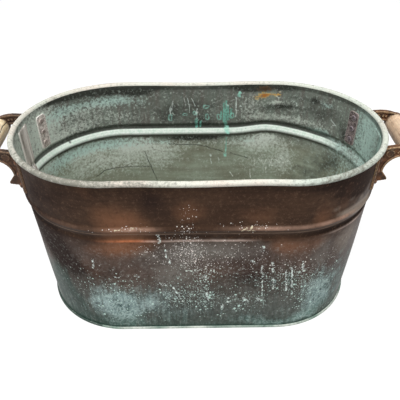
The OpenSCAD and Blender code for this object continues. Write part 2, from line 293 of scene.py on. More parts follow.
# Where a dent fades out round the ends, and where the brackets and the bottom seam take hold
FACE_FADE = (-20 * MM, 60 * MM)
BRACKET_X, BRACKET_Z = (END_X + 90 * MM, END_X + 112 * MM), (185 * MM, 215 * MM)
FOOT_HOLD = (2 * MM, 40 * MM)

rng = np.random.default_rng(RIPPLE_SEED)
ripple_waves = rng.normal(size=(RIPPLES, 3))
ripple_waves /= np.linalg.norm(ripple_waves, axis=1)[:, None]
ripple_waves *= (2 * math.pi / rng.uniform(*RIPPLE_LENGTH, RIPPLES))[:, None]
ripple_phases = rng.uniform(0, 2 * math.pi, RIPPLES)

# Dents: x, face (-1 front, 1 back), height, half width, half height, push outwards, lift, in mm
DENTS = [
    (120, 1, 205, 34, 30, 4.0, 4.0),
    (118, 1, 268, 26, 24, -2.5, 0.0),
    (20, 1, 150, 60, 40, 2.0, 0.0),
    (-95, 1, 150, 45, 50, -2.0, 0.0),
    (-150, 1, 284, 70, 12, -2.2, 0.0),
    (-60, -1, 130, 60, 45, -1.6, 0.0),
    (95, -1, 120, 50, 60, 1.4, 0.0),
    (40, -1, 250, 55, 25, -1.2, 0.0),
    (-110, -1, 236, 40, 22, 1.0, 0.0),
    (196, -1, 212, 26, 18, 1.5, 3.0),
    (165, 1, 205, 30, 20, 0.0, 1.4),
    (155, -1, 290, 60, 40, 0.0, -2.0),
    (-150, -1, 290, 60, 40, 0.0, -1.2),
]


def smooth_step(low, high, value):
    """0 below low, 1 above high, and a smooth rise between them."""
    t = np.clip((value - low) / (high - low), 0, 1)
    return t * t * (3 - 2 * t)


def bell(x, z, x0, z0, half_w, half_h):
    """A soft patch: 1 in its middle (mm), falling away over its half width and half height."""
    return np.exp(-((x / MM - x0) / half_w) ** 2 - ((z / MM - z0) / half_h) ** 2)


def placed(stations, radius, z):
    """Places of section points on stations. The arguments broadcast together."""
    x = stations[..., 0] + radius * stations[..., 1]
    y = radius * stations[..., 2]
    return np.stack([x, y, np.broadcast_to(z, x.shape)], -1)


def movement(stations, place):
    """How far ripples, dents and sag move each place."""
    x, y, z = place[..., 0], place[..., 1], place[..., 2]
    push = RIPPLE_DEPTH * np.sin(place @ ripple_waves.T + ripple_phases).sum(-1) / math.sqrt(RIPPLES)
    sag = np.cos(np.clip(x / END_X, -1, 1) * math.pi / 2) ** 2 * smooth_step(SAG_FROM, RIM_TOP, z)
    lift = -RIM_SAG * sag
    for x0, face, z0, half_w, half_h, out, up in DENTS:
        here = bell(x, z, x0, z0, half_w, half_h) * smooth_step(*FACE_FADE, y * face)
        push = push + out * MM * here
        lift = lift + up * MM * here
    held = smooth_step(*BRACKET_X, np.abs(x)) * smooth_step(*BRACKET_Z, z)
    free = smooth_step(*FOOT_HOLD, z) * (1 - held)
    push, lift = push * free, lift * free
    return np.stack([push * stations[..., 1], push * stations[..., 2], lift], -1)


print("dents:", len(DENTS), "and ripples of", RIPPLE_DEPTH / MM, "mm")

# %% [markdown]
# ## Sweeping a section round the plan
#
# Every sheet, wire and seam is a section with two sides, an outer and an inner row of points,
# carried from station to station. A curve with a bevel profile could do this too, but a mesh built
# from arrays keeps each row known, so rows can get their own finish and their own stains.

# %% Sweep
REST = "place_before_dents"


def mesh_piece(name, places, faces, slots=None):
    """A smooth-shaded object from points and faces, each face with a material slot."""
    mesh = bpy.data.meshes.new(name)
    mesh.from_pydata(places.tolist(), [], faces.tolist())
    if slots is not None:
        mesh.polygons.foreach_set("material_index", slots)
    mesh.polygons.foreach_set("use_smooth", np.ones(len(mesh.polygons), bool))
    mesh.update()
    piece = bpy.data.objects.new(name, mesh)
    bpy.context.scene.collection.objects.link(piece)
    return piece


def sweep(name, stations, outer, inner, closed=False, row_slots=None, solid_root=True):
    """A mesh between outer and inner rows of (radius, height), carried along stations. row_slots
    gives each row of the outer and then the inner side a material slot. Without a solid root the
    first rows of the two sides stay open."""
    count, rows = len(stations), len(outer)
    section = np.concatenate([outer, inner[::-1]])
    loop = len(section)
    rest = placed(stations[:, None, :], section[None, :, 0], section[None, :, 1])
    places = rest + movement(stations[:, None, :], rest)
    i, j = np.meshgrid(
        np.arange(count if closed else count - 1), np.arange(loop if solid_root else loop - 1), indexing="ij"
    )
    i2, j2 = (i + 1) % count, (j + 1) % loop
    faces = np.stack([i2 * loop + j, i2 * loop + j2, i * loop + j2, i * loop + j], -1).reshape(-1, 4)
    slots = np.zeros(len(faces), int) if row_slots is None else np.asarray(row_slots)[j.ravel()]
    if not closed:
        k = np.arange(rows - 1)
        cap = np.stack([k, k + 1, loop - 2 - k, loop - 1 - k], 1)
        faces = np.concatenate([faces, cap, cap[:, ::-1] + (count - 1) * loop])
        slots = np.concatenate([slots, np.zeros(2 * len(cap), int)])
    piece = mesh_piece(name, places.reshape(-1, 3), faces, slots)
    layer = piece.data.attributes.new(REST, "FLOAT_VECTOR", "POINT")
    layer.data.foreach_set("vector", rest.astype(np.float32).ravel())
    return piece


def dress(piece, materials, node_name, body):
    """Gives a piece its materials and lets it stand for a node of the frame and ride on its body."""
    for material in materials:
        piece.data.materials.append(material)
    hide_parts(node_name)
    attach(piece, body)


print("ready to sweep")

# %% [markdown]
# ## The two body sheets
#
# The wall is two equal sheets that lap at the ends. Each is one section: a small flange at the
# bottom, the tapering wall, the swage, and the curl round the rim wire. The curl is a run of points
# on two arcs, so the roll has its true hollow shape. A strip of each sheet laps behind the other.

# %% Body sheets
CURL_STEPS = 22
SIDE_STEP = 3.0 * MM
END_STEP = 3.6 * MM
LAP = 22 * MM / TOP_R
JOGGLE = 3 * MM / TOP_R
LAP_TOP = ROLL_Z - 2 * ROLL_R
LAP_STATIONS = 13
OUTSIDE, RIM, INSIDE = 0, 1, 2

curl_turn = math.pi - np.linspace(0, CURL, CURL_STEPS + 1)
curl_line = np.stack([np.cos(curl_turn), np.sin(curl_turn)], 1)
roll_centre = np.array([ROLL_C, ROLL_Z])
wall_line = np.stack([wall_radius(wall_rows), wall_rows], 1)[1:-1]
flange_top = [[FOOT_R + FLANGE, SEAT_Z + SHEET], [FOOT_R, SEAT_Z + SHEET]]
flange_under = [[FOOT_R + FLANGE, SEAT_Z], [FOOT_R - SHEET, SEAT_Z]]
sheet_outer = np.concatenate([flange_top, wall_line, roll_centre + WIRE_SEAT * curl_line])
sheet_inner = np.concatenate([flange_under, wall_line - [SHEET, 0], roll_centre + ROLL_R * curl_line])
wall_count = len(sheet_outer) - len(curl_line)
row_slots = [OUTSIDE] * wall_count + [RIM] * (2 * len(curl_line) - 1) + [INSIDE] * (wall_count + 1)
lap_rows = wall_rows[(wall_rows > HEM_H) & (wall_rows < LAP_TOP)]
lap_line = np.stack([wall_radius(lap_rows) - SHEET - SEAM_GAP, lap_rows], 1)

TURNS = {"back_sheet": 0.0, "front_sheet": math.pi}
sheets, laps = {}, {}
for name, turned in TURNS.items():
    stations = half_plan(SIDE_STEP, END_STEP, turned)
    sheets[name] = sweep(name + "_wall", stations, sheet_outer, sheet_inner, row_slots=row_slots)
    lap_plan = end_plan(-LAP, JOGGLE, LAP_STATIONS, turned)
    laps[name] = sweep(name + "_lap", lap_plan, lap_line, lap_line - [SHEET, 0])
    print(name, "has", len(sheets[name].data.polygons), "faces")

# %% [markdown]
# ## Where the stains lie
#
# Patina is never even: warm copper where hands and cloths rubbed, blue-green bloom where it stood
# wet, mint specks where drops dried. Some stains paint light and shade as well: highlights and
# reflections on the swage and the wall, and shade under the rim and in the hollows. A painter would
# brush masks by hand. Here each stain is a soft patch at a place on the opened-out sheet, u along it
# from its middle and z up, and the shaders break up its edge with noise. So the list can be read and
# changed, and still looks accidental.

# %% Stains outside
# Each stain: u and z of its middle, half width, half height, in mm, and its strength
OUTSIDE_STAINS = {
    # Oxide worn thin and warm by hands and cloths, and warm painted reflections and highlights
    "warm": [
        (-112, 176, 46, 14, 0.7), (-104, 230, 36, 18, 0.55), (-100, 200, 44, 16, 0.5),
        (119, 178, 36, 12, 0.45), (-15, 240, 22, 20, 0.4), (60, 240, 50, 24, 0.25),
        (190, 232, 50, 16, 0.15), (161, 224, 14, 22, 0.35), (170, 180, 20, 14, 0.35),
    ],
    # Soot and dark oxide, and painted shade and dark reflections under the rim and at the ends
    "dull": [
        (-60, 258, 20, 26, 0.7), (225, 272, 40, 12, 0.9), (150, 276, 60, 8, 0.5),
        (-250, 250, 60, 50, 0.55), (275, 268, 50, 20, 0.8), (-180, 262, 60, 30, 0.45),
        (-110, 272, 60, 14, 0.4), (-275, 180, 50, 50, 0.9), (-215, 180, 30, 40, 0.7),
        (-315, 110, 36, 110, 0.8), (205, 277, 44, 9, 1.2), (185, 258, 20, 6, 0.7), (0, 190, 300, 4, 0.3),
        (80, 116, 30, 26, 0.5), (-140, 124, 60, 20, 0.4), (-40, 236, 14, 20, 0.35),
        (232, 248, 26, 14, 1.0), (50, 110, 30, 20, 0.4), (-190, 132, 28, 34, 0.85),
        (226, 262, 26, 14, 0.5), (198, 248, 18, 12, 0.45), (-226, 140, 20, 34, 0.6),
    ],
    # Painted highlight along the ridge of the swage
    "ridge": [
        (-96, 214, 22, 60, 1.0), (-68, 214, 14, 60, 0.4), (96, 214, 30, 60, 0.75),
        (160, 214, 40, 60, 0.55), (200, 214, 24, 60, 0.5), (-180, 214, 50, 60, 0.15),
        (50, 214, 20, 60, 0.3),
    ],
    # A painted highlight line on the shoulder below the groove
    "shoulder_highlight": [
        (-64, 192, 12, 60, 0.8), (-24, 192, 30, 60, 0.8), (26, 192, 26, 60, 1.0), (58, 192, 14, 60, 0.6),
        (196, 192, 20, 60, 0.45), (234, 192, 22, 60, 0.9),
    ],
    # A painted bright copper reflection below the groove
    "groove": [(-98, 192, 26, 60, 1.0), (-70, 192, 14, 60, 0.4)],
    # Where the dark band of grime and painted shade in the groove is thinner
    "thinned_groove_dark": [
        (-120, 200, 40, 30, 0.7), (-190, 200, 50, 30, 0.75), (-10, 200, 80, 30, 0.7),
        (110, 200, 60, 30, 0.65),
    ],
    # Painted reflection: pale streaks where the wall at the right end catches the light
    "reflection_streaks": [
        (198, 221, 16, 6, 0.6), (222, 219, 18, 7, 1.0), (246, 217, 24, 8, 1.3), (236, 233, 8, 6, 0.6),
        (211, 240, 10, 5, 0.4), (186, 234, 11, 4, 0.3), (228, 168, 26, 34, 0.6), (205, 160, 16, 20, 0.3),
    ],
    # Dark green where damp stayed longest, and painted shade at the left end
    "moss": [
        (-228, 86, 18, 30, 0.8), (-224, 62, 24, 32, 1.0), (-210, 38, 32, 26, 1.0),
        (-180, 14, 44, 12, 0.9), (-130, 10, 40, 8, 0.6), (-290, 70, 60, 60, 0.7), (225, 30, 40, 26, 0.5),
        (125, 110, 36, 34, 0.4),
    ],
    # Grey film of soap and lime
    "haze": [
        (-34, 125, 32, 40, 0.85), (-16, 174, 44, 20, 0.6), (44, 172, 54, 24, 0.65),
        (240, 130, 60, 70, 0.35), (130, 50, 50, 36, 0.6), (176, 158, 18, 32, 0.55),
        (40, 60, 50, 40, 0.25), (-78, 160, 24, 26, 0.3),
    ],
    # Blue-green bloom of copper carbonate
    "teal": [
        (-130, 70, 44, 28, 0.85), (-122, 38, 46, 26, 0.7), (-118, 66, 20, 22, 0.3),
        (-70, 76, 36, 30, 0.45), (192, 68, 32, 46, 0.85), (150, 90, 26, 30, 0.15),
        (-20, 40, 36, 26, 0.45), (108, 100, 20, 34, 0.3), (80, 22, 30, 16, 0.6), (-215, 66, 50, 46, 0.1),
        (250, 80, 50, 70, 0.3), (190, 40, 36, 24, 0.4), (-112, 8, 40, 14, 0.45), (168, 16, 26, 12, 0.7),
        (122, 9, 34, 9, 0.6),
    ],
    # Mint and white specks of dried drops
    "specks": [
        (-20, 180, 20, 16, 1.2), (-14, 152, 26, 24, 0.8), (4, 115, 18, 26, 0.75), (-18, 214, 10, 5, 1.0),
        (-18, 236, 8, 16, 0.35), (112, 116, 40, 30, 0.6), (-31, 75, 24, 22, 0.9), (6, 74, 20, 22, 0.6),
        (40, 60, 40, 24, 0.5), (80, 66, 18, 14, 0.65), (185, 80, 34, 44, 0.7), (-130, 100, 60, 24, 0.3),
        (-95, 215, 26, 4, 0.55), (40, 165, 50, 24, 0.25), (-60, 168, 22, 16, 0.4),
        (146, 105, 26, 34, 0.55), (-100, 60, 60, 30, 0.3), (30, 130, 60, 40, 0.12), (60, 218, 36, 6, 0.3),
    ],
}
# Along the rim: rubbed to grey metal, and mint with carbonate
RIM_STAINS = {
    "front_sheet": {
        "rim_worn": [
            (-150, 290, 70, 40, 1.0), (-230, 290, 70, 40, 0.8), (-60, 290, 40, 40, 0.3),
            (190, 290, 60, 40, 1.0),
        ],
        "rim_mint": [
            (150, 290, 60, 40, 1.0), (225, 290, 60, 40, 0.7), (330, 290, 80, 40, 0.4),
            (-280, 290, 90, 40, 0.4),
        ],
    },
    "back_sheet": {
        "rim_worn": [(260, 290, 60, 40, 0.3)],
        "rim_mint": [
            (-230, 290, 100, 40, 0.6), (-330, 290, 80, 40, 0.4), (270, 290, 90, 40, 0.4),
            (0, 290, 120, 40, 0.4),
        ],
    },
}
print("stains outside:", sum(len(patches) for patches in OUTSIDE_STAINS.values()))

# %% [markdown]
# The inside has stains of its own: lime where water stood and dried, blue-green carbonate at the
# ends, soot and painted shadow under the rim, painted shade below the ledge, painted light at the
# left end, and the rust of the wire.

# %% Stains inside
# The same numbers. Inside, u runs to the left, for someone who looks in from the front.
INSIDE_STAINS = {
    # Blue-green carbonate
    "teal": [
        (200, 265, 60, 12, 0.85), (138, 266, 34, 12, 0.85), (96, 258, 22, 12, 0.35),
        (255, 262, 30, 18, 0.7), (-205, 266, 50, 14, 0.3), (-330, 252, 46, 80, 1.5),
        (310, 240, 26, 50, 0.3), (235, 182, 60, 13, 1.1), (150, 182, 50, 12, 1.1),
        (-260, 186, 40, 24, 0.45), (-270, 140, 40, 40, 0.5), (-250, 206, 40, 10, 0.7),
        (-203, 216, 24, 4, 0.9), (-227, 219, 16, 7, 0.9), (-228, 268, 10, 4, 0.9), (70, 184, 40, 8, 0.7),
        (-50, 236, 24, 16, 0.35), (280, 160, 40, 40, 0.5), (-86, 184, 30, 8, 0.7),
    ],
    # Pale film of lime
    "pale": [
        # Pale film of lime, and painted light on the inside of the left end
        (-190, 228, 60, 7, 0.9), (-112, 178, 46, 16, 1.1), (140, 232, 70, 10, 0.6),
        (-92, 250, 22, 26, 0.7), (60, 172, 60, 14, 0.8), (-40, 180, 60, 8, 0.5), (122, 176, 30, 10, 1.0),
        (-110, 138, 46, 26, 0.6), (110, 148, 60, 20, 0.6), (-120, 228, 40, 12, 0.8),
        (60, 148, 26, 24, 0.4), (-150, 258, 40, 8, 0.5), (200, 160, 60, 24, 0.7),
        (150, 140, 60, 30, 0.35), (240, 130, 40, 30, 0.5), (206, 256, 70, 17, 0.85),
        (98, 188, 18, 6, 0.8), (-125, 188, 20, 6, 0.8), (-162, 146, 22, 34, 0.85),
        (275, 256, 26, 36, 0.8), (212, 226, 26, 12, 0.7), (160, 214, 40, 8, 0.6), (248, 222, 24, 12, 0.8),
        (296, 192, 30, 30, 0.9), (325, 250, 60, 70, 1.3), (-137, 258, 14, 5, 0.8),
        (-168, 245, 14, 7, 0.6), (230, 174, 16, 8, 0.7), (190, 176, 24, 7, 0.8), (128, 171, 14, 8, 0.9),
        (84, 176, 20, 6, 0.5),
    ],
    # Dark places: soot, painted shadow under the rim and painted shade below the ledge
    "dark": [
        (262, 289, 26, 4, 0.7), (222, 287, 34, 9, 0.9), (160, 286, 40, 12, 1.1), (104, 281, 26, 10, 1.2),
        (70, 290, 24, 8, 0.9), (-60, 290, 40, 6, 0.6), (-92, 284, 28, 8, 1.2), (-150, 286, 30, 7, 1.0),
        (10, 250, 60, 30, 0.48), (-140, 248, 34, 9, 0.55), (5, 191, 60, 6, 1.2), (-230, 162, 36, 30, 0.5),
        (56, 236, 26, 24, 0.4), (-15, 220, 24, 12, 0.5), (-200, 124, 60, 26, 0.38),
        (-272, 230, 13, 18, 0.7), (-225, 252, 46, 18, 0.66), (-180, 270, 50, 6, 0.4),
        (-205, 274, 8, 7, 0.5), (-155, 252, 20, 4, 0.5), (-260, 178, 18, 24, 0.45),
    ],
    # Where no lime has settled on the ledge
    "bare": [(-300, 205, 55, 30, 1.0), (-345, 205, 60, 30, 1.0)],
    # A brown scab under the rim
    "brown": [(-116, 283, 18, 7, 1.3)],
    # Orange rust from the wire
    "rust": [
        (-114, 271, 9, 6, 1.2), (-102, 267, 7, 5, 0.85), (-128, 273, 13, 4, 0.9), (-142, 273, 8, 4, 0.75),
    ],
}
print("stains inside:", sum(len(patches) for patches in INSIDE_STAINS.values()))

# %% [markdown]
# The patches are stored as numbers on the points of the sheets, which a shader reads with an
# Attribute node. Thin drips and creases would be too fine for the points, so each sheet also gets a
# map, u and z as a UV layer, on which the shader can draw strokes.

# %% Painting the sheets
MAP = "opened_sheet"
MOST_STAIN = 1.5


def opened_out(piece, turned):
    """For each point of a sheet: u along the sheet from its middle and the height z, in metres."""
    rest = np.empty(len(piece.data.vertices) * 3, np.float32)
    piece.data.attributes[REST].data.foreach_get("vector", rest)
    x, y, z = rest.reshape(-1, 3).T
    x, y = (x, y) if turned else (-x, -y)
    past = np.maximum(np.abs(x) - END_X, 0)
    u = np.sign(x) * (np.minimum(np.abs(x), END_X) + TOP_R * np.arctan2(past, -y))
    return u, z


def paint(piece, name, turned):
    """Stores the stains of both sides, the wear of the rim, and the map on a sheet."""
    u, z = opened_out(piece, turned)
    stains = {"out_" + kind: patches for kind, patches in OUTSIDE_STAINS.items()}
    stains.update({"in_" + kind: patches for kind, patches in INSIDE_STAINS.items()}, **RIM_STAINS[name])
    for kind, patches in stains.items():
        along = -u if turned and kind.startswith("in_") else u
        mask = sum(power * bell(along, z, *patch) for *patch, power in patches)
        layer = piece.data.attributes.new(kind, "FLOAT", "POINT")
        layer.data.foreach_set("value", np.clip(mask, 0, MOST_STAIN).astype(np.float32))
    corners = np.empty(len(piece.data.loops), np.int32)
    piece.data.loops.foreach_get("vertex_index", corners)
    uv = piece.data.uv_layers.new(name=MAP)
    uv.data.foreach_set("uv", np.stack([u[corners], z[corners]], 1).astype(np.float32).ravel())


for name in TURNS:
    for piece in (sheets[name], laps[name]):
        paint(piece, name, name == "front_sheet")
print("painted", list(TURNS))

# %% [markdown]
# ## Tools for patina
#
# Every material starts with an empty tree and ends in one surface shader, with a bump of a real
# height for what is too fine to model. In between, a few kinds of mark come back in every finish, so
# each gets a small function that returns a mask: 0 where the surface is clean, 1 where the mark
# covers it.

# %% Start and end of a material


def start_material(name):
    """A new material with an empty tree, the tree, and the object coordinates in it."""
    material = bpy.data.materials.new(name)
    material.use_nodes = True
    material.node_tree.nodes.clear()
    return material, material.node_tree, node(material.node_tree, "TexCoord").outputs["Object"]


def finish_material(material, colour, metallic, roughness, height, relief_mm, **constants):
    """The surface shader, with a bump of a real height, and the output."""
    tree = material.node_tree
    bump = node(tree, "Bump", {"Height": height, "Strength": 1.0, "Distance": relief_mm * MM}).outputs[0]
    shader = node(tree, "BsdfPrincipled", {
        "Base Color": colour, "Metallic": metallic, "Roughness": roughness, "Normal": bump, **constants,
    })
    node(tree, "OutputMaterial", {"Surface": shader.outputs[0]})
    print("made", material.name, "with", len(tree.nodes), "nodes")


# %% [markdown]
# A stain is one of the painted patches, with its edge broken up by noise: the two are added, and the
# mask rises where the sum does. It has to begin near the highest value of the noise, or the stain
# would show everywhere. A band lies between two heights, such as the grime in a groove.

# %% Stains and bands


def broken_edge(tree, stain, breakup, low, high, most=1.0):
    """A stain with its edge broken up by noise: none where the two add up to low, most at high."""
    total = node(tree, "Math", {0: stain, 1: breakup}, operation="ADD").outputs[0]
    edges = {"From Min": low, "From Max": high, "To Max": most}
    return node(tree, "MapRange", {"Value": total, **edges}).outputs[0]


def band(tree, level, low_mm, high_mm, soft_low, soft_high, most):
    """A band between two heights, each edge soft by so many millimetres."""
    edges = {"From Min": (low_mm - soft_low) * MM, "From Max": (low_mm + soft_low) * MM}
    rise = node(tree, "MapRange", {"Value": level, **edges}).outputs[0]
    edges = {"From Min": (high_mm + soft_high) * MM, "From Max": (high_mm - soft_high) * MM, "To Max": most}
    fall = node(tree, "MapRange", {"Value": level, **edges}).outputs[0]
    return node(tree, "Math", {0: rise, 1: fall}, operation="MULTIPLY").outputs[0]


def largest(tree, masks):
    """The largest of several masks at each place."""
    masks = list(masks)
    while len(masks) > 1:
        masks.append(node(tree, "Math", {0: masks.pop(0), 1: masks.pop(0)}, operation="MAXIMUM").outputs[0])
    return masks[0]


print("ready to stain")

# %% [markdown]
# Drops dry to specks, and runs dry to strokes. Voronoi cells suit the specks, because each cell has
# random numbers of its own, for the size of its speck and for whether it is there at all. A stroke is
# what lies close to a straight line on the map of the sheet. The map is bent by noise first, so that
# the line wanders as a drip does.

# %% Specks and strokes
# Least and most reach of a speck in its cell, and where a stroke fades, in shares of its width
SPECK_REACH = (0.22, 0.55)
STROKE_FADE = (0.65, 0.3)


def specks(tree, place, size_mm, density, ragged):
    """Specks of dried drops on the map, one to each cell of size_mm, as often as the density says."""
    size = {"Vector": place, "Scale": per(size_mm)}
    cells = node(tree, "TexVoronoi", size, voronoi_dimensions="2D").outputs
    chance = node(tree, "SeparateColor", {0: cells["Color"]}).outputs
    kept = node(tree, "Math", {0: chance[0], 1: density}, operation="LESS_THAN").outputs[0]
    reach = {"Value": chance[1], "To Min": SPECK_REACH[0], "To Max": SPECK_REACH[1]}
    reach = node(tree, "MapRange", reach).outputs[0]
    wavy = node(tree, "Math", {0: ragged, 1: 0.5, 2: cells["Distance"]}, operation="MULTIPLY_ADD").outputs[0]
    depth = node(tree, "Math", {0: reach, 1: wavy}, operation="SUBTRACT").outputs[0]
    spot = node(tree, "MapRange", {"Value": depth, "From Min": -0.05, "From Max": 0.05}).outputs[0]
    return node(tree, "Math", {0: spot, 1: kept}, operation="MULTIPLY").outputs[0]


def stroke(tree, place, start, end, width):
    """A soft stroke from start to end on the map, all in mm."""
    start, end = Vector((*start, 0)) * MM, Vector((*end, 0)) * MM
    run = end - start
    along = run / run.length_squared
    offset = node(tree, "VectorMath", {0: place, 1: start}, operation="SUBTRACT").outputs[0]
    part = node(tree, "VectorMath", {0: offset, 1: along}, operation="DOT_PRODUCT").outputs["Value"]
    held = node(tree, "Clamp", {"Value": part}).outputs[0]
    nearest = node(tree, "VectorMath", {0: run, "Scale": held}, operation="SCALE").outputs[0]
    gap = node(tree, "VectorMath", {0: offset, 1: nearest}, operation="DISTANCE").outputs["Value"]
    edges = {"From Min": STROKE_FADE[0] * width * MM, "From Max": STROKE_FADE[1] * width * MM}
    return node(tree, "MapRange", {"Value": gap, **edges}).outputs[0]


def strokes(tree, place, lines):
    """All the strokes of a list of (start, end, width) together."""
    return largest(tree, [stroke(tree, place, *line) for line in lines])


def shaken_map(tree, coords, reach_mm, size_mm):
    """The map of the sheet, bent by noise, so that marks drawn on it wander a little."""
    sheet_map = node(tree, "UVMap", uv_map=MAP).outputs[0]
    shake = node(tree, "TexNoise", {"Vector": coords, "Scale": per(size_mm), "Detail": 3.0}).outputs["Color"]
    centred = node(tree, "VectorMath", {0: shake, 1: (0.5, 0.5, 0.5)}, operation="SUBTRACT").outputs[0]
    reach = (reach_mm * MM, reach_mm * MM, 0)
    return node(tree, "VectorMath", {0: centred, 1: reach, 2: sheet_map}, operation="MULTIPLY_ADD").outputs[0]


print("ready to speck and streak")

# %% [markdown]
# ## Outside: copper sheet with a brown patina
#
# Copper that was once polished turns to a brown oxide that still has a dull shine, so the surface is
# fairly smooth and a little metallic. A photograph of old copper could be wrapped round the tub, but
# layers of noise can be tuned one by one. First comes the oxide itself: cloudy at the size of a
# hand, greyer below the swage, and darker in streaks that follow the rolled sheet above the swage
# and the water below it.

# %% Brown oxide
# Sizes of the patterns in mm. Real crumbs of oxide are far finer, and are drawn coarser here to show.
CLOUDS = {"Scale": per(80), "Detail": 4.0}
MOTTLE = {"Scale": per(24), "Detail": 7.0, "Roughness": 0.65}
CRUMBS = {"Scale": per(5), "Detail": 5.0, "Roughness": 0.8}
RUNS = {"Scale": per(9), "Detail": 6.0, "Roughness": 0.7}
ROLLING = {"Scale": per(5), "Detail": 5.0, "Roughness": 0.7}
DOWNWARDS = (1, 1, 0.1)
LOWER_WALL = {"From Min": 194 * MM, "From Max": 172 * MM}

copper_outside, tree, coords = start_material("copper_sheet_brown_oxide")
streaked = node(tree, "Mapping", {"Vector": coords, "Scale": DOWNWARDS}).outputs[0]
rolled = node(tree, "Mapping", {"Vector": coords, "Scale": (0.06, 0.06, 1)}).outputs[0]
clouds = node(tree, "TexNoise", {"Vector": coords, **CLOUDS}).outputs["Fac"]
mottle = node(tree, "TexNoise", {"Vector": coords, **MOTTLE}).outputs["Fac"]
crumbs = node(tree, "TexNoise", {"Vector": coords, **CRUMBS}).outputs["Fac"]
runs = node(tree, "TexNoise", {"Vector": streaked, **RUNS}).outputs["Fac"]
lines = node(tree, "TexNoise", {"Vector": rolled, **ROLLING}).outputs["Fac"]
level = node(tree, "SeparateXYZ", {0: node(tree, "UVMap", uv_map=MAP).outputs[0]}).outputs["Y"]
below = node(tree, "MapRange", {"Value": level, **LOWER_WALL}).outputs[0]

tone = node(tree, "MapRange", {"Value": clouds, "From Min": 0.35, "From Max": 0.65}).outputs[0]
upper = node(tree, "Mix", {0: tone, 6: linear("#423025"), 7: linear("#523D2F")}, data_type="RGBA").outputs[2]
lower = node(tree, "Mix", {0: tone, 6: linear("#4A3B35"), 7: linear("#61524A")}, data_type="RGBA").outputs[2]
colour = node(tree, "Mix", {0: below, 6: upper, 7: lower}, data_type="RGBA").outputs[2]
streaks = node(tree, "Mix", {0: below, 2: lines, 3: runs}).outputs[0]
dark_lines = {"From Min": 0.42, "From Max": 0.68, "To Max": 0.45}
streaks = node(tree, "MapRange", {"Value": streaks, **dark_lines}).outputs[0]
colour = node(tree, "Mix", {0: streaks, 6: colour, 7: linear("#2C211B")}, data_type="RGBA").outputs[2]
print("brown oxide:", len(tree.nodes), "nodes")

# %% [markdown]
# Soot and painted shade darken the oxide in places, wear and painted reflections make it warm, soap
# and lime have left a grey haze, and at the right end pale streaks are a painted reflection. A painter
# would glaze these on; a loop mixes them in, one stain after the other. The dark places are matte, so
# their mask is kept for later.

# %% Soot, shade, wear, reflection and haze
matte = []
# Each layer: stain, the noise that breaks its edge, tint, the sums where it begins and is full, most
for kind, breakup, tint, low, high, most in (
    # Soot, with painted shade and dark reflections
    ("dull", mottle, "#251D1C", 0.7, 1.4, 0.75),
    # Wear, with warm painted reflections and highlights
    ("warm", clouds, "#8F6247", 0.62, 1.45, 0.9),
    ("haze", mottle, "#85817A", 0.7, 1.5, 0.8),
    # Painted reflection streaks at the right end
    ("reflection_streaks", mottle, "#94877A", 0.7, 1.4, 0.85),
):
    stain = node(tree, "Attribute", attribute_name="out_" + kind).outputs["Fac"]
    mask = broken_edge(tree, stain, breakup, low, high, most)
    colour = node(tree, "Mix", {0: mask, 6: colour, 7: linear(tint)}, data_type="RGBA").outputs[2]
    if kind == "dull":
        matte.append(mask)
print("with soot, wear and haze:", len(tree.nodes), "nodes")

# %% [markdown]
# The swage stands out and catches the light, so it is partly rubbed and gets painted highlights: pale
# along its ridge and along the edge of its groove, a bright copper reflection in one stretch below the
# groove, and a pale line beside that. The groove itself and the hollow under the rim get a dark line
# of grime and painted shade, thinner in places. Each is a band between two heights, worked over by a
# patchy noise.

# %% Swage lines
# Rubbed lines with painted highlights: the stain that says where, low and high edge in mm, and tint
WORN_AND_HIGHLIT = [
    ("ridge", 211.5, 217.5, "#AE8D7B"),
    ("groove", 190.5, 194.0, "#CB7B52"),
    ("shoulder_highlight", 190.4, 193.4, "#C8B2A6"),
]
# Grime and painted shade: low and high edge in mm, and strength
GRIME_AND_SHADE = [(193.6, 203.8, 0.92), (284.5, 310.0, 0.6)]

patchy = {"From Min": 0.36, "From Max": 0.56, "To Min": 0.4}
patchy = node(tree, "MapRange", {"Value": mottle, **patchy}).outputs[0]
# Painted highlights along the swage
for kind, low_mm, high_mm, tint in WORN_AND_HIGHLIT:
    stain = node(tree, "Attribute", attribute_name="out_" + kind).outputs["Fac"]
    worn_and_highlit = node(tree, "Math", {0: stain, 1: patchy}, operation="MULTIPLY").outputs[0]
    line = band(tree, level, low_mm, high_mm, 1.2, 1.6, 1.0)
    mask = node(tree, "Math", {0: line, 1: worn_and_highlit}, operation="MULTIPLY").outputs[0]
    colour = node(tree, "Mix", {0: mask, 6: colour, 7: linear(tint)}, data_type="RGBA").outputs[2]
groove = node(tree, "Attribute", attribute_name="out_groove").outputs["Fac"]
thinned_groove_dark = node(tree, "Attribute", attribute_name="out_thinned_groove_dark").outputs["Fac"]
thinned_groove_dark = node(tree, "Math", {0: groove, 1: thinned_groove_dark}, operation="MAXIMUM").outputs[0]
grime_and_shade_share = node(tree, "MapRange", {"Value": thinned_groove_dark, "To Min": 1.0, "To Max": 0.15}).outputs[0]
# Dark lines of grime and painted shade in the groove and under the rim
for low_mm, high_mm, most in GRIME_AND_SHADE:
    line = band(tree, level, low_mm, high_mm, 1.6, 2.5, most)
    mask = node(tree, "Math", {0: line, 1: grime_and_shade_share}, operation="MULTIPLY").outputs[0]
    colour = node(tree, "Mix", {0: mask, 6: colour, 7: linear("#1C1410")}, data_type="RGBA").outputs[2]
    matte.append(mask)
# A thin painted highlight along the edge of the groove
edge = band(tree, level, 204.4, 205.8, 0.7, 0.7, 0.75)
edge = node(tree, "Math", {0: edge, 1: patchy}, operation="MULTIPLY").outputs[0]
colour = node(tree, "Mix", {0: edge, 6: colour, 7: linear("#8C7767")}, data_type="RGBA").outputs[2]
print("with the lines of the swage:", len(tree.nodes), "nodes")

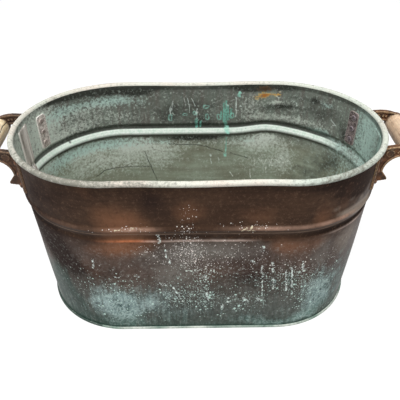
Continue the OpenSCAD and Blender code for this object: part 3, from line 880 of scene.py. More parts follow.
# %% [markdown]
# The foot of the tub stood in the wet. There the brown turns grey-green, dark as moss in places, and
# blue-green copper carbonate has bloomed over it; at the left end the dark moss stain also paints
# shade. Water has combed both into upright strands, which are finer than a millimetre on real copper
# and drawn coarser here to show. Carbonate is a mineral: it hides the metal, so it is matte.

# %% Damp foot and bloom
STRANDS = {"Scale": per(5), "Detail": 4.0, "Roughness": 0.75}
WET = {"From Min": 125 * MM, "From Max": 45 * MM, "To Max": 0.65}
GREEN_FOOT = {"From Min": 48 * MM, "From Max": 16 * MM, "To Max": 0.55}

wet = node(tree, "MapRange", {"Value": level, **WET}).outputs[0]
colour = node(tree, "Mix", {0: wet, 6: colour, 7: linear("#55625D")}, data_type="RGBA").outputs[2]
# The moss stain: dark green damp, and painted shade at the left end
stain = node(tree, "Attribute", attribute_name="out_moss").outputs["Fac"]
moss = broken_edge(tree, stain, runs, 0.7, 1.3, 0.85)
colour = node(tree, "Mix", {0: moss, 6: colour, 7: linear("#32453E")}, data_type="RGBA").outputs[2]
damp = band(tree, level, -20, 20, 1, 16, 0.48)
colour = node(tree, "Mix", {0: damp, 6: colour, 7: linear("#43594F")}, data_type="RGBA").outputs[2]

stain = node(tree, "Attribute", attribute_name="out_teal").outputs["Fac"]
torn = node(tree, "Math", {0: mottle, 1: runs}, operation="ADD").outputs[0]
teal = broken_edge(tree, stain, torn, 1.28, 2.0, 0.92)
matte.append(teal)
combed = node(tree, "Mapping", {"Vector": coords, "Scale": (1, 1, 0.18)}).outputs[0]
strands = node(tree, "TexNoise", {"Vector": combed, **STRANDS}).outputs["Fac"]
threads = node(tree, "Math", {0: mottle, 1: strands}, operation="ADD").outputs[0]
bloom = node(tree, "MapRange", {"Value": threads, "From Min": 0.8, "From Max": 1.18}).outputs[0]
bloom = node(tree, "Mix", {0: bloom, 6: linear("#566F6D"), 7: linear("#B0C7C5")}, data_type="RGBA").outputs[2]
foot = node(tree, "MapRange", {"Value": level, **GREEN_FOOT}).outputs[0]
bloom = node(tree, "Mix", {0: foot, 6: bloom, 7: linear("#6E9485")}, data_type="RGBA").outputs[2]
colour = node(tree, "Mix", {0: teal, 6: colour, 7: bloom}, data_type="RGBA").outputs[2]
for low, high, most, tint in ((0.53, 0.68, 0.55, "#93AAA4"), (0.47, 0.33, 0.6, "#2B3532")):
    edges = {"From Min": low, "From Max": high, "To Max": most}
    strand = node(tree, "MapRange", {"Value": strands, **edges}).outputs[0]
    mask = node(tree, "Math", {0: strand, 1: wet}, operation="MULTIPLY").outputs[0]
    colour = node(tree, "Mix", {0: mask, 6: colour, 7: linear(tint)}, data_type="RGBA").outputs[2]
print("with damp and bloom:", len(tree.nodes), "nodes")

# %% [markdown]
# Close up, the oxide is a grain of light and dark. One noise gives both: its high values the light
# grain, its low values the dark, in tones of their own below and above the swage. Thin pale curls
# cross the bloom where it dried, along the middle value of a swirled noise.

# %% Grain and curls
SWIRL = {"Scale": per(16), "Detail": 2.0, "Distortion": 1.4}
CURLS = {"From Min": 0.05, "From Max": 0.015, "To Max": 0.75}

above = node(tree, "Math", {0: 1.0, 1: below}, operation="SUBTRACT").outputs[0]
for zone, low, high, most, tint in (
    (below, 0.54, 0.7, 0.55, "#A5A7A1"), (below, 0.46, 0.32, 0.6, "#261E1B"),
    (above, 0.54, 0.7, 0.4, "#826652"), (above, 0.46, 0.32, 0.45, "#261E1B"),
):
    edges = {"From Min": low, "From Max": high, "To Max": most}
    grain = node(tree, "MapRange", {"Value": crumbs, **edges}).outputs[0]
    mask = node(tree, "Math", {0: grain, 1: zone}, operation="MULTIPLY").outputs[0]
    colour = node(tree, "Mix", {0: mask, 6: colour, 7: linear(tint)}, data_type="RGBA").outputs[2]

swirl = node(tree, "TexNoise", {"Vector": coords, **SWIRL}).outputs["Fac"]
beside = node(tree, "Math", {0: swirl, 1: 0.5}, operation="SUBTRACT").outputs[0]
beside = node(tree, "Math", {0: beside}, operation="ABSOLUTE").outputs[0]
curl = node(tree, "MapRange", {"Value": beside, **CURLS}).outputs[0]
mask = node(tree, "Math", {0: curl, 1: teal}, operation="MULTIPLY").outputs[0]
colour = node(tree, "Mix", {0: mask, 6: colour, 7: linear("#C3D8D4")}, data_type="RGBA").outputs[2]
print("with grain and curls:", len(tree.nodes), "nodes")

# %% [markdown]
# Mint and white specks come last: a fine salt, rounder specks in columns where drops ran, and a few
# large ones low down. Trickles of beads and a yellowish residue on the ridge are strokes. Just above
# the bottom seam, a dark green line of damp ends the wall. Drawn by hand these would take a day; here
# only the trickles are placed one by one, and chance sows the rest.

# %% Specks
# Each trickle: start and end as (u, z), and its width, in mm
TRICKLES = [
    ((88, 142), (90, 118), 2.6), ((91, 112), (93, 78), 2.0), ((103, 148), (105, 128), 3.6),
    ((106, 118), (108, 92), 3.0), ((124, 131), (126, 112), 2.6), ((127, 104), (129, 88), 3.0),
    ((132, 136), (140, 78), 2.4), ((148, 146), (151, 127), 3.4), ((-151, 158), (-155, 136), 3.6),
    ((-124, 120), (-118, 119), 3.2), ((-94, 121), (-89, 119), 3.2), ((-60, 104), (-50, 101), 4.5),
    ((-40, 96), (-33, 80), 2.6), ((-34, 84), (-26, 64), 2.6), ((9, 92), (12, 66), 3.4),
    ((86, 70), (90, 64), 6.0), ((66, 70), (72, 63), 4.5), ((88, 180), (87, 172), 4.0),
    ((-56, 203), (-55, 190), 4.5), ((-8, 128), (-2, 132), 3.6), ((-44, 158), (-42, 146), 2.6),
    ((-48, 176), (-46, 160), 1.8), ((33, 56), (35, 48), 4.5), ((42, 70), (43, 62), 4.5),
    ((5, 122), (9, 114), 4.0), ((74, 152), (78, 148), 4.0),
]
RESIDUE = [
    ((56, 211), (61, 216), 2.6), ((61, 216), (64, 210), 2.6), ((64, 210), (69, 217), 2.6),
    ((69, 217), (72, 211), 2.6), ((72, 211), (78, 216), 2.6), ((-112, 215), (-104, 216), 2.0),
    ((-90, 217), (-78, 216), 2.4),
]
BEADS = {"From Min": 0.49, "From Max": 0.54}
COLUMNS = {"From Min": 0.42, "From Max": 0.58, "To Min": 0.2}
LOW_DOWN = {"From Min": 150 * MM, "From Max": 115 * MM}

crusts = []
shaken = shaken_map(tree, coords, 5, 6)
stain = node(tree, "Attribute", attribute_name="out_specks").outputs["Fac"]
column = node(tree, "MapRange", {"Value": runs, **COLUMNS}).outputs[0]
in_columns = node(tree, "Math", {0: stain, 1: column}, operation="MULTIPLY").outputs[0]
in_columns = node(tree, "Math", {0: in_columns, 1: below}, operation="MULTIPLY").outputs[0]
down = node(tree, "MapRange", {"Value": level, **LOW_DOWN}).outputs[0]
sparse = node(tree, "MapRange", {"Value": down, "To Max": 0.4}).outputs[0]
sparse = node(tree, "Math", {0: stain, 1: sparse}, operation="MULTIPLY").outputs[0]
salt = node(tree, "Mix", {0: down, 6: linear("#FAF5EE"), 7: linear("#D2EAE1")}, data_type="RGBA").outputs[2]
for size_mm, density in ((2.3, stain), (4.0, in_columns), (6.6, sparse)):
    mask = specks(tree, shaken, size_mm, density, crumbs)
    colour = node(tree, "Mix", {0: mask, 6: colour, 7: salt}, data_type="RGBA").outputs[2]
    crusts.append(mask)

beads = node(tree, "MapRange", {"Value": crumbs, **BEADS}).outputs[0]
for marks, tint in ((TRICKLES, "#F2FFF9"), (RESIDUE, "#E0D6B6")):
    mask = node(tree, "Math", {0: strokes(tree, shaken, marks), 1: beads}, operation="MULTIPLY").outputs[0]
    colour = node(tree, "Mix", {0: mask, 6: colour, 7: linear(tint)}, data_type="RGBA").outputs[2]
    crusts.append(mask)

seam = band(tree, level, -20, 6, 1, 2, 0.7)
colour = node(tree, "Mix", {0: seam, 6: colour, 7: linear("#234037")}, data_type="RGBA").outputs[2]
print("with specks and trickles:", len(tree.nodes), "nodes")

# %% [markdown]
# The shine follows from what lies on top. Soot, grime, carbonate and crusts are matte and not
# metallic; the bare oxide between them is satin. Crusts and crumbs also stand out a little, which a
# bump can give, because they are far too small to model.

# %% Shine outside
SATIN = {"From Min": 0.3, "From Max": 0.7, "To Min": 0.36, "To Max": 0.5}
MATTE_ROUGHNESS = 0.85

crust = largest(tree, crusts)
mineral = largest(tree, matte + crusts)
metallic = node(tree, "MapRange", {"Value": mineral, "To Min": 0.1, "To Max": 0.0}).outputs[0]
satin = node(tree, "MapRange", {"Value": mottle, **SATIN}).outputs[0]
roughness = node(tree, "Mix", {0: mineral, 2: satin, 3: MATTE_ROUGHNESS}).outputs[0]
height = node(tree, "Math", {0: crust, 1: 0.5, 2: crumbs}, operation="MULTIPLY_ADD").outputs[0]
finish_material(copper_outside, colour, metallic, roughness, height, 0.15, **{"Specular IOR Level": 0.06})

# %% [markdown]
# ## Inside: copper that stood wet
#
# Inside, soap and water have turned the metal to grey-green carbonate all over, almost without
# shine, and crusty at the size of a few millimetres. It is browner, and crustier, above the swage;
# the lower wall is a smoother olive with streaks along the rolled sheet. Pale, blue-green and dark
# stains lie over both.

# %% Grey-green carbonate
# Sizes of the patterns in mm. Again the crumbs are drawn coarser than real ones, so that they show.
CLOUDS = {"Scale": per(60), "Detail": 5.0, "Roughness": 0.6}
MOTTLE = {"Scale": per(20), "Detail": 7.0, "Roughness": 0.7}
CRUMBS = {"Scale": per(4.5), "Detail": 5.0, "Roughness": 0.8}
RUNS = {"Scale": per(10), "Detail": 5.0, "Roughness": 0.7}
ROLLING = {"Scale": per(8), "Detail": 5.0, "Roughness": 0.7}
LOWER_WALL = {"From Min": 198 * MM, "From Max": 172 * MM, "To Max": 0.85}

copper_inside, tree, coords = start_material("copper_sheet_grey_green_carbonate")
streaked = node(tree, "Mapping", {"Vector": coords, "Scale": DOWNWARDS}).outputs[0]
rolled = node(tree, "Mapping", {"Vector": coords, "Scale": (0.08, 0.08, 1)}).outputs[0]
clouds = node(tree, "TexNoise", {"Vector": coords, **CLOUDS}).outputs["Fac"]
mottle = node(tree, "TexNoise", {"Vector": coords, **MOTTLE}).outputs["Fac"]
crumbs = node(tree, "TexNoise", {"Vector": coords, **CRUMBS}).outputs["Fac"]
runs = node(tree, "TexNoise", {"Vector": streaked, **RUNS}).outputs["Fac"]
lines = node(tree, "TexNoise", {"Vector": rolled, **ROLLING}).outputs["Fac"]
level = node(tree, "SeparateXYZ", {0: node(tree, "UVMap", uv_map=MAP).outputs[0]}).outputs["Y"]
below = node(tree, "MapRange", {"Value": level, **LOWER_WALL}).outputs[0]

tone = node(tree, "MapRange", {"Value": clouds, "From Min": 0.34, "From Max": 0.66}).outputs[0]
colour = node(tree, "Mix", {0: tone, 6: linear("#646A62"), 7: linear("#858E84")}, data_type="RGBA").outputs[2]
browned = {"From Min": 0.44, "From Max": 0.64, "To Max": 0.7}
browned = node(tree, "MapRange", {"Value": runs, **browned}).outputs[0]
colour = node(tree, "Mix", {0: browned, 6: colour, 7: linear("#665D58")}, data_type="RGBA").outputs[2]
olive = node(tree, "Mix", {0: tone, 6: linear("#8D8E79"), 7: linear("#AAB5A2")}, data_type="RGBA").outputs[2]
streaks = {"From Min": 0.42, "From Max": 0.64, "To Max": 0.5}
streaks = node(tree, "MapRange", {"Value": lines, **streaks}).outputs[0]
olive = node(tree, "Mix", {0: streaks, 6: olive, 7: linear("#77725F")}, data_type="RGBA").outputs[2]
colour = node(tree, "Mix", {0: below, 6: colour, 7: olive}, data_type="RGBA").outputs[2]
print("grey-green carbonate:", len(tree.nodes), "nodes")

# %% [markdown]
# The painted stains come next, with crumbly edges, and over them a crust of light and dark grains,
# thick in some places and thin in others, and thinner on the lower wall.

# %% Stains and crust inside
# Each layer: stain, the noise that breaks its edge, tint, the sums where it begins and is full, most
grain = {"From Min": 0.34, "From Max": 0.66, "To Max": 1.3}
grain = node(tree, "MapRange", {"Value": crumbs, **grain}).outputs[0]
for kind, breakup, tint, low, high, most in (
    ("pale", grain, "#D6DED3", 1.1, 2.0, 0.9),
    ("teal", grain, "#BEDBD2", 1.1, 2.0, 0.9),
    # The dark stains are soot, painted shadow under the rim and painted shade below the ledge
    ("dark", mottle, "#2A2B26", 0.8, 1.3, 0.92),
):
    stain = node(tree, "Attribute", attribute_name="in_" + kind).outputs["Fac"]
    mask = broken_edge(tree, stain, breakup, low, high, most)
    colour = node(tree, "Mix", {0: mask, 6: colour, 7: linear(tint)}, data_type="RGBA").outputs[2]

crusty = {"From Min": 0.4, "From Max": 0.6, "To Min": 0.15}
crusty = node(tree, "MapRange", {"Value": mottle, **crusty}).outputs[0]
smooth = node(tree, "MapRange", {"Value": below, "To Min": 1.0, "To Max": 0.4}).outputs[0]
crusty = node(tree, "Math", {0: crusty, 1: smooth}, operation="MULTIPLY").outputs[0]
for low, high, most, tint in ((0.53, 0.68, 0.85, "#CCD8CD"), (0.47, 0.32, 0.85, "#414540")):
    edges = {"From Min": low, "From Max": high, "To Max": most}
    grains = node(tree, "MapRange", {"Value": crumbs, **edges}).outputs[0]
    mask = node(tree, "Math", {0: grains, 1: crusty}, operation="MULTIPLY").outputs[0]
    colour = node(tree, "Mix", {0: mask, 6: colour, 7: linear(tint)}, data_type="RGBA").outputs[2]
print("with stains and crust:", len(tree.nodes), "nodes")

# %% [markdown]
# Lime has settled on the ledge of the swage, which faces up, except at the right end, where it
# stayed green; its band fades softly at the lower edge, which paints the ledge's shading. Painted
# shade lies in the hollows above and below the ledge and, thinner where the wall is pale, under the
# rim. All four are bands, and those of shade waver with the noise.

# %% Ledge and grime
WAVER = 4 * MM
THINNED = {"From Min": 0.5, "From Max": 1.1, "To Min": 1.0, "To Max": 0.2}

stain = node(tree, "Attribute", attribute_name="in_bare").outputs["Fac"]
bare = broken_edge(tree, stain, mottle, 0.75, 1.2)
limed = node(tree, "MapRange", {"Value": bare, "To Min": 1.0, "To Max": 0.12}).outputs[0]
stain = node(tree, "Attribute", attribute_name="in_pale").outputs["Fac"]
thinned = node(tree, "MapRange", {"Value": stain, **THINNED}).outputs[0]
wave = node(tree, "Math", {0: mottle, 1: WAVER, 2: level}, operation="MULTIPLY_ADD").outputs[0]
wavy = node(tree, "Math", {0: wave, 1: WAVER / 2}, operation="SUBTRACT").outputs[0]

# Painted shade: low and high edge and the softness of each in mm, strength, tint, and where it is
for low_mm, high_mm, soft_low, soft_high, most, tint, where in (
    (208.0, 218.0, 1.0, 3.5, 0.85, "#363A33", limed),
    (194.5, 201.5, 1.2, 1.5, 0.85, "#3E4037", limed),
    (284.0, 310.0, 1.5, 1.5, 0.65, "#2E312A", thinned),
):
    mask = band(tree, wavy, low_mm, high_mm, soft_low, soft_high, most)
    mask = node(tree, "Math", {0: mask, 1: where}, operation="MULTIPLY").outputs[0]
    colour = node(tree, "Mix", {0: mask, 6: colour, 7: linear(tint)}, data_type="RGBA").outputs[2]

# Lime on the ledge; its soft lower edge paints the shading from a bright top to a darker foot
ledge = band(tree, level, 200.4, 208.7, 2.6, 0.8, 1.0)
mask = node(tree, "Math", {0: ledge, 1: limed}, operation="MULTIPLY").outputs[0]
lime = node(tree, "MapRange", {"Value": crumbs, "From Min": 0.36, "From Max": 0.56}).outputs[0]
lime = node(tree, "Mix", {0: lime, 6: linear("#D3EADA"), 7: linear("#F4FDF4")}, data_type="RGBA").outputs[2]
colour = node(tree, "Mix", {0: mask, 6: colour, 7: lime}, data_type="RGBA").outputs[2]
print("with the limed ledge:", len(tree.nodes), "nodes")

# %% [markdown]
# Drips ran down from the rim and left turquoise and white tracks, with rings where drops dried. A
# knock has creased the lower wall, and its creases are dark lines of painted shade; scouring has
# scratched it. These are strokes on the map of the opened-out sheet, bent a little by noise.

# %% Drips, creases and scratches
# Each stroke: start and end as (u, z), and its width, in mm
DRIPS = [
    ((-50, 262), (-50, 240), 3.5), ((-46, 258), (-46, 222), 3.0), ((-54, 252), (-54, 226), 3.0),
    ((-50, 244), (-50, 216), 6.0), ((2, 226), (2, 211), 5.0), ((-6, 222), (-5, 212), 3.0),
    ((-60, 246), (-58, 230), 3.5), ((-41, 242), (-42, 228), 3.0), ((-52, 190), (-51, 164), 2.0),
]
MINT_DRIPS = [
    ((-51, 209), (-54, 201), 8.5), ((-73, 277), (-72, 271), 5.5), ((-51, 166), (-51, 160), 3.0),
    ((-50, 157), (-50, 152), 6.0),
]
LOOPS = [
    ((48, 233), (48, 228), 7.5), ((-17, 234), (-17, 229), 8.0), ((-37, 234), (-38, 229), 7.0),
    ((-61, 236), (-62, 231), 6.5), ((-12, 250), (-18, 251), 6.0), ((20, 236), (24, 237), 5.0),
    ((6, 240), (3, 236), 5.0),
]
WHITE_DRIPS = [
    ((-67, 268), (-68, 230), 2.2), ((1, 247), (1.5, 226), 1.6), ((47, 250), (47.5, 234), 2.2),
    ((42, 262), (44, 250), 1.5), ((16, 268), (14, 240), 1.2), ((10, 268), (4, 252), 1.2),
    ((1, 240), (2, 238), 4.5), ((-23, 155), (-24, 152), 4.0), ((-24, 147), (-25, 136), 2.0),
    ((-38, 150), (-39, 138), 1.2), ((47, 248), (47, 245), 4.5), ((-50, 256), (-53, 252), 3.0),
    ((-66, 244), (-72, 243), 1.6), ((-75, 252), (-77, 250), 2.4), ((24, 268), (20, 254), 1.0),
    ((-238, 246), (-246, 241), 1.6), ((-243, 237), (-248, 240), 2.4), ((-136, 271), (-142, 268), 2.4),
    ((-171, 262), (-174, 256), 2.2),
]
# Creases: dark lines of painted shade
CREASES = [
    ((97, 164), (88, 133), 1.8), ((88, 133), (78, 103), 1.8), ((195, 124), (176, 132), 2.0),
    ((176, 132), (148, 133), 1.8), ((148, 133), (88, 133), 1.6), ((54, 179), (-4, 175), 1.8),
    ((-4, 175), (-45, 162), 1.8), ((-60, 158), (-93, 148), 1.8), ((234, 209), (234, 207), 4.5),
]
SCRATCHES = [
    ((-118, 142), (-124, 134), 1.8), ((-124, 134), (-128, 144), 1.8), ((-132, 148), (-140, 132), 2.0),
    ((-140, 147), (-134, 130), 1.8), ((-146, 146), (-154, 138), 1.8), ((-150, 150), (-158, 147), 1.8),
    ((-112, 146), (-116, 141), 1.8), ((-160, 142), (-172, 146), 1.8), ((-98, 120), (-100, 106), 1.8),
    ((-60, 118), (-66, 108), 1.8), ((-104, 148), (-106, 132), 1.4), ((-128, 128), (-130, 116), 1.6),
]
LOOP_HOLE = 0.45
RAGGED = {"From Min": 0.38, "From Max": 0.55, "To Min": 0.15}

shaken = shaken_map(tree, coords, 6, 9)
rings = strokes(tree, shaken, LOOPS)
holes = strokes(tree, shaken, [(start, end, LOOP_HOLE * width) for start, end, width in LOOPS])
rings = node(tree, "Math", {0: rings, 1: holes}, operation="SUBTRACT").outputs[0]
ragged = node(tree, "MapRange", {"Value": crumbs, **RAGGED}).outputs[0]
for drawn, tint, most in (
    # The painted shade of the creases
    (strokes(tree, shaken, CREASES), "#34372F", 0.9),
    (strokes(tree, shaken, SCRATCHES), "#E4EAE0", 0.95),
    (strokes(tree, shaken, WHITE_DRIPS), "#DDE9E2", 0.85),
    (strokes(tree, shaken, DRIPS), "#7ACBB7", 0.75),
    (strokes(tree, shaken, MINT_DRIPS), "#A5E6D3", 0.95),
    (rings, "#9AD6C6", 0.85),
):
    broken = node(tree, "Math", {0: drawn, 1: ragged}, operation="MULTIPLY").outputs[0]
    mask = node(tree, "Math", {0: broken, 1: most}, operation="MULTIPLY").outputs[0]
    colour = node(tree, "Mix", {0: mask, 6: colour, 7: linear(tint)}, data_type="RGBA").outputs[2]
print("with drips and scratches:", len(tree.nodes), "nodes")

# %% [markdown]
# An orange bloom of rust sits where the iron wire shows under the rim, with a brown scab above it.
# Both are deeper in colour in the middle than at the fringe. Carbonate scatters light, so the inside
# ends rough, hardly metallic, and with a lumpy bump.

# %% Rust and shine inside
DULL = {"From Min": 0.3, "From Max": 0.7, "To Min": 0.55, "To Max": 0.75}

for kind, fringe, middle in (("brown", "#5A452F", "#46321F"), ("rust", "#D9B566", "#B26F28")):
    stain = node(tree, "Attribute", attribute_name="in_" + kind).outputs["Fac"]
    mask = broken_edge(tree, stain, grain, 1.3, 1.75, 0.95)
    core = node(tree, "MapRange", {"Value": stain, "From Min": 0.8, "From Max": 1.25}).outputs[0]
    rust = node(tree, "Mix", {0: core, 6: linear(fringe), 7: linear(middle)}, data_type="RGBA").outputs[2]
    colour = node(tree, "Mix", {0: mask, 6: colour, 7: rust}, data_type="RGBA").outputs[2]

roughness = node(tree, "MapRange", {"Value": mottle, **DULL}).outputs[0]
height = node(tree, "Math", {0: mottle, 1: 0.6, 2: crumbs}, operation="MULTIPLY_ADD").outputs[0]
finish_material(copper_inside, colour, 0.1, roughness, height, 0.4, **{"Specular IOR Level": 0.25})

# %% [markdown]
# ## Lime on the rim and the seams
#
# The rolled rim is crusted with pale lime and mint carbonate, rubbed through to grey metal in
# places. It is matte, almost white, and lumpy at the scale of a few millimetres. The folded seam at
# the foot and the soldered laps have the same crust in other tones, so one function makes them all.
# The lumps could be modelled, but at this size a bump of their real height is enough.

# %% Limed edges
LUMPS = {"Scale": per(6), "Detail": 5.0, "Roughness": 0.8}
PITS = {"From Min": 0.47, "From Max": 0.33, "To Max": 0.5}
WEAR_SPAN = 0.22


def limed_edge(name, light_tones, worn_tone, worn_from, tone_mm=40, squeeze=1.0):
    """Pale crust in two tones over worn metal. worn_from is the level of noise where wear begins,
    tone_mm the size of the patches of tone, and a small squeeze draws them out downwards."""
    material, tree, coords = start_material(name)
    drawn_out = node(tree, "Mapping", {"Vector": coords, "Scale": (1, 1, squeeze)}).outputs[0]
    tones = {"Scale": per(tone_mm), "Detail": 4.0}
    clouds = node(tree, "TexNoise", {"Vector": drawn_out, **tones}).outputs["Fac"]
    lumps = node(tree, "TexNoise", {"Vector": coords, **LUMPS}).outputs["Fac"]
    tone = node(tree, "MapRange", {"Value": clouds, "From Min": 0.4, "From Max": 0.62}).outputs[0]
    first, second = [linear(tint) for tint in light_tones]
    colour = node(tree, "Mix", {0: tone, 6: first, 7: second}, data_type="RGBA").outputs[2]
    stain = node(tree, "Attribute", attribute_name="rim_mint").outputs["Fac"]
    minted = broken_edge(tree, stain, lumps, 0.6, 1.6, 0.85)
    colour = node(tree, "Mix", {0: minted, 6: colour, 7: linear("#D3E2D6")}, data_type="RGBA").outputs[2]
    stain = node(tree, "Attribute", attribute_name="rim_worn").outputs["Fac"]
    patchy = node(tree, "Math", {0: stain, 1: 0.2, 2: lumps}, operation="MULTIPLY_ADD").outputs[0]
    wear = {"From Min": worn_from, "From Max": worn_from + WEAR_SPAN, "To Max": 0.95}
    worn = node(tree, "MapRange", {"Value": patchy, **wear}).outputs[0]
    pits = node(tree, "MapRange", {"Value": lumps, **PITS}).outputs[0]
    spoiled = node(tree, "Math", {0: worn, 1: pits}, operation="MAXIMUM").outputs[0]
    colour = node(tree, "Mix", {0: spoiled, 6: colour, 7: linear(worn_tone)}, data_type="RGBA").outputs[2]
    stain = node(tree, "Attribute", attribute_name="crusted").outputs["Fac"]
    crusted = broken_edge(tree, stain, clouds, 0.75, 1.15, 0.95)
    colour = node(tree, "Mix", {0: crusted, 6: colour, 7: linear("#F6F0E9")}, data_type="RGBA").outputs[2]
    finish_material(material, colour, 0.05, 0.7, lumps, 0.8)
    return material


# Chalky cream with grey wear on the rim; green-grey and white on the fold, which reads as a pale line
limed_rim = limed_edge("lime_crust_on_rolled_copper", ("#E0E0D3", "#E5DBCE"), "#7F7E73", 0.52)
limed_hem = limed_edge("lime_crust_on_folded_copper", ("#8DA396", "#E4EAE0"), "#3E4D46", 0.53)
# Pinkish grey smears of solder, drawn out downwards, and solder gone green with the copper round it
smear_tones = ("#E6DCD5", "#94897F")
smeared_lap = limed_edge("solder_smear_on_copper", smear_tones, "#8A817A", 0.56, tone_mm=6, squeeze=0.1)
green_solder = limed_edge("solder_under_green_carbonate", ("#8FA79F", "#A0B6AD"), "#66776F", 0.5)

# %% [markdown]
# The sheets can now be dressed. Of the two laps, the left one is smeared with solder and white with
# crust along its edges, and the right one has turned green like the wall. The runs of solder beside
# them are taken from the construction as they are, and only get a finish.

# %% Dressing the sheets
CRUST_EDGE = (0.6, 0.95)

for name in TURNS:
    dress(sheets[name], (copper_outside, limed_rim, copper_inside), name, "tub")
    lap = laps[name].data
    lap.materials.append(smeared_lap if name == "front_sheet" else copper_inside)
    laps[name].parent = sheets[name]
    across = np.repeat(np.abs(np.linspace(-1, 1, LAP_STATIONS)), len(lap.vertices) // LAP_STATIONS)
    layer = lap.attributes.new("crusted", "FLOAT", "POINT")
    layer.data.foreach_set("value", smooth_step(*CRUST_EDGE, across).astype(np.float32))
for side, finish in (("left", smeared_lap), ("right", green_solder)):
    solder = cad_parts[side + "_seam_solder"]
    solder.data.materials.clear()
    solder.data.materials.append(finish)
print("dressed", list(sheets))

# %% [markdown]
# ## Rim wire and bottom
#
# The wire is iron, hidden in the curl, and follows the same dents as the curl that holds it. A curve
# with a round bevel could make it; the sweep is at hand and moves with the sheet.

# %% Wire
PLAN_STEP = 6 * MM
WIRE_POINTS = 9

full_plan = np.concatenate([half_plan(PLAN_STEP, PLAN_STEP, turned)[:-1] for turned in TURNS.values()])
wire_turn = np.linspace(0, math.pi, WIRE_POINTS)
wire_line = WIRE_R * np.stack([np.cos(wire_turn), np.sin(wire_turn)], 1)
wire_top, wire_foot = roll_centre + wire_line[1:-1], roll_centre + wire_line * [1, -1]
rim_wire = sweep("rim_wire_round", full_plan, wire_top, wire_foot, closed=True)
print("the wire has", len(rim_wire.data.polygons), "faces")

# %% [markdown]
# The bottom is a flat sheet, a little sprung upwards, with its edge turned up and folded in over the
# flange of the wall: that fold is the pale line round the foot of the tub. It is swept as well. The
# floor runs in to the long axis, where the two sides of the plan meet and are welded, and the fold
# keeps its flat faces, because a folded edge is crisp.

# %% Bottom
FLOOR_STEP = 9 * MM
SPRING, SPRING_REACH = 2.5 * MM, 0.92
WORN_END = END_X + 40 * MM
UNDER, FOLD, UPPER = 0, 1, 2
FOLD_R = HEM_R - SHEET - FLANGE + SEAM_GAP

floor_rows = np.linspace(0, HEM_R - SHEET, round(HEM_R / FLOOR_STEP))
under_line = [[r, 0] for r in floor_rows] + [[HEM_R, 0], [HEM_R, HEM_H], [FOLD_R, HEM_H]]
upper_line = [[r, SHEET] for r in floor_rows] + [[HEM_R - SHEET, HEM_H - SHEET], [FOLD_R, HEM_H - SHEET]]
flat_count = len(floor_rows) - 1
fold_count = len(under_line) + len(upper_line) - 1 - 2 * flat_count
bottom = sweep(
    "bottom_with_folded_seam", full_plan, np.array(under_line), np.array(upper_line), closed=True,
    row_slots=[UNDER] * flat_count + [FOLD] * fold_count + [UPPER] * flat_count, solid_root=False,
)
shape = bmesh.new()
shape.from_mesh(bottom.data)
bmesh.ops.remove_doubles(shape, verts=shape.verts, dist=0.01 * MM)
for vertex in shape.verts:
    off_axis = math.hypot(max(abs(vertex.co.x) - END_X, 0), vertex.co.y) / HEM_R
    vertex.co.z += SPRING * max(0, 1 - (off_axis / SPRING_REACH) ** 2) ** 2
for face in shape.faces:
    face.smooth = face.material_index != FOLD
shape.to_mesh(bottom.data)
shape.free()
worn = [vertex.co.x < -WORN_END for vertex in bottom.data.vertices]
layer = bottom.data.attributes.new("rim_worn", "FLOAT", "POINT")
layer.data.foreach_set("value", MOST_STAIN * np.array(worn, np.float32))
dress(bottom, (copper_outside, limed_hem, copper_inside), "bottom_sheet", "tub")
print("the bottom has", len(bottom.data.polygons), "faces")

# %% [markdown]
# ## Cast iron with rust
#
# The brackets are rough sand castings with worn scrolls. The construction has their exact form, so
# each is a copy of it with a fine voxel remesh: that gives an even net of small faces, on which
# smoothing rounds the sharp edges and a little noise makes the sandy skin of a casting.

# %% Brackets
# Noise of the skin: how fast its octaves fade, how much finer each one is, and how many there are
SKIN_NOISE = (0.8, 2.0, 3)


def weathered_copy(node_name, voxel_mm, rounds, skin_mm, grain_mm):
    """A fine copy of a node's solid, with its edges rounded off and a skin of uneven height."""
    piece = bpy.data.objects.new(node_name + "_weathered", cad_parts[node_name].data.copy())
    bpy.context.scene.collection.objects.link(piece)
    piece.data.materials.clear()
    remesh = piece.modifiers.new("fine_net", "REMESH")
    remesh.mode = "VOXEL"
    remesh.voxel_size = voxel_mm * MM
    soften = piece.modifiers.new("soft_edges", "SMOOTH")
    soften.factor = 0.5
    soften.iterations = rounds
    fine = bpy.data.meshes.new_from_object(piece.evaluated_get(bpy.context.evaluated_depsgraph_get()))
    piece.modifiers.clear()
    piece.data = fine
    grain = grain_mm * MM
    skin = [noise.fractal(vertex.co / grain, *SKIN_NOISE) * skin_mm * MM for vertex in fine.vertices]
    ways = [vertex.normal.copy() for vertex in fine.vertices]
    for vertex, way, rise in zip(fine.vertices, ways, skin):
        vertex.co += way * rise
    fine.polygons.foreach_set("use_smooth", np.ones(len(fine.polygons), bool))
    fine.update()
    return piece


CORNERS = [side + "_" + face for side in ("left", "right") for face in ("front", "back")]
brackets = {
    corner: weathered_copy(corner + "_bracket", voxel_mm=0.7, rounds=3, skin_mm=0.16, grain_mm=2.5)
    for corner in CORNERS
}
print("each bracket has about", len(brackets["left_front"].data.polygons), "faces")

# %% [markdown]
# Rust on iron is brown and matte, deep in the hollows, and its edges are pale, partly rubbed and
# partly a painted highlight. The Geometry node's Pointiness tells hollows from edges on a fine mesh,
# so no mask is needed. The right-hand brackets are a warmer, lighter brown with a brighter painted
# highlight on their edges, so there are two tones.

# %% Rusty iron
# Patches of rust of some mm, and the grain of the casting sand, drawn coarser than real sand to show
RUST_PATCHES = {"Scale": per(9), "Detail": 6.0, "Roughness": 0.65}
CASTING_SAND = {"Scale": per(1.6), "Detail": 4.0, "Roughness": 0.7}
# Edges pale from wear and a painted highlight
WORN_AND_HIGHLIT_EDGE = {"From Min": 0.55, "From Max": 0.62, "To Max": 0.95}
HOLLOW = {"From Min": 0.485, "From Max": 0.42, "To Max": 0.8}


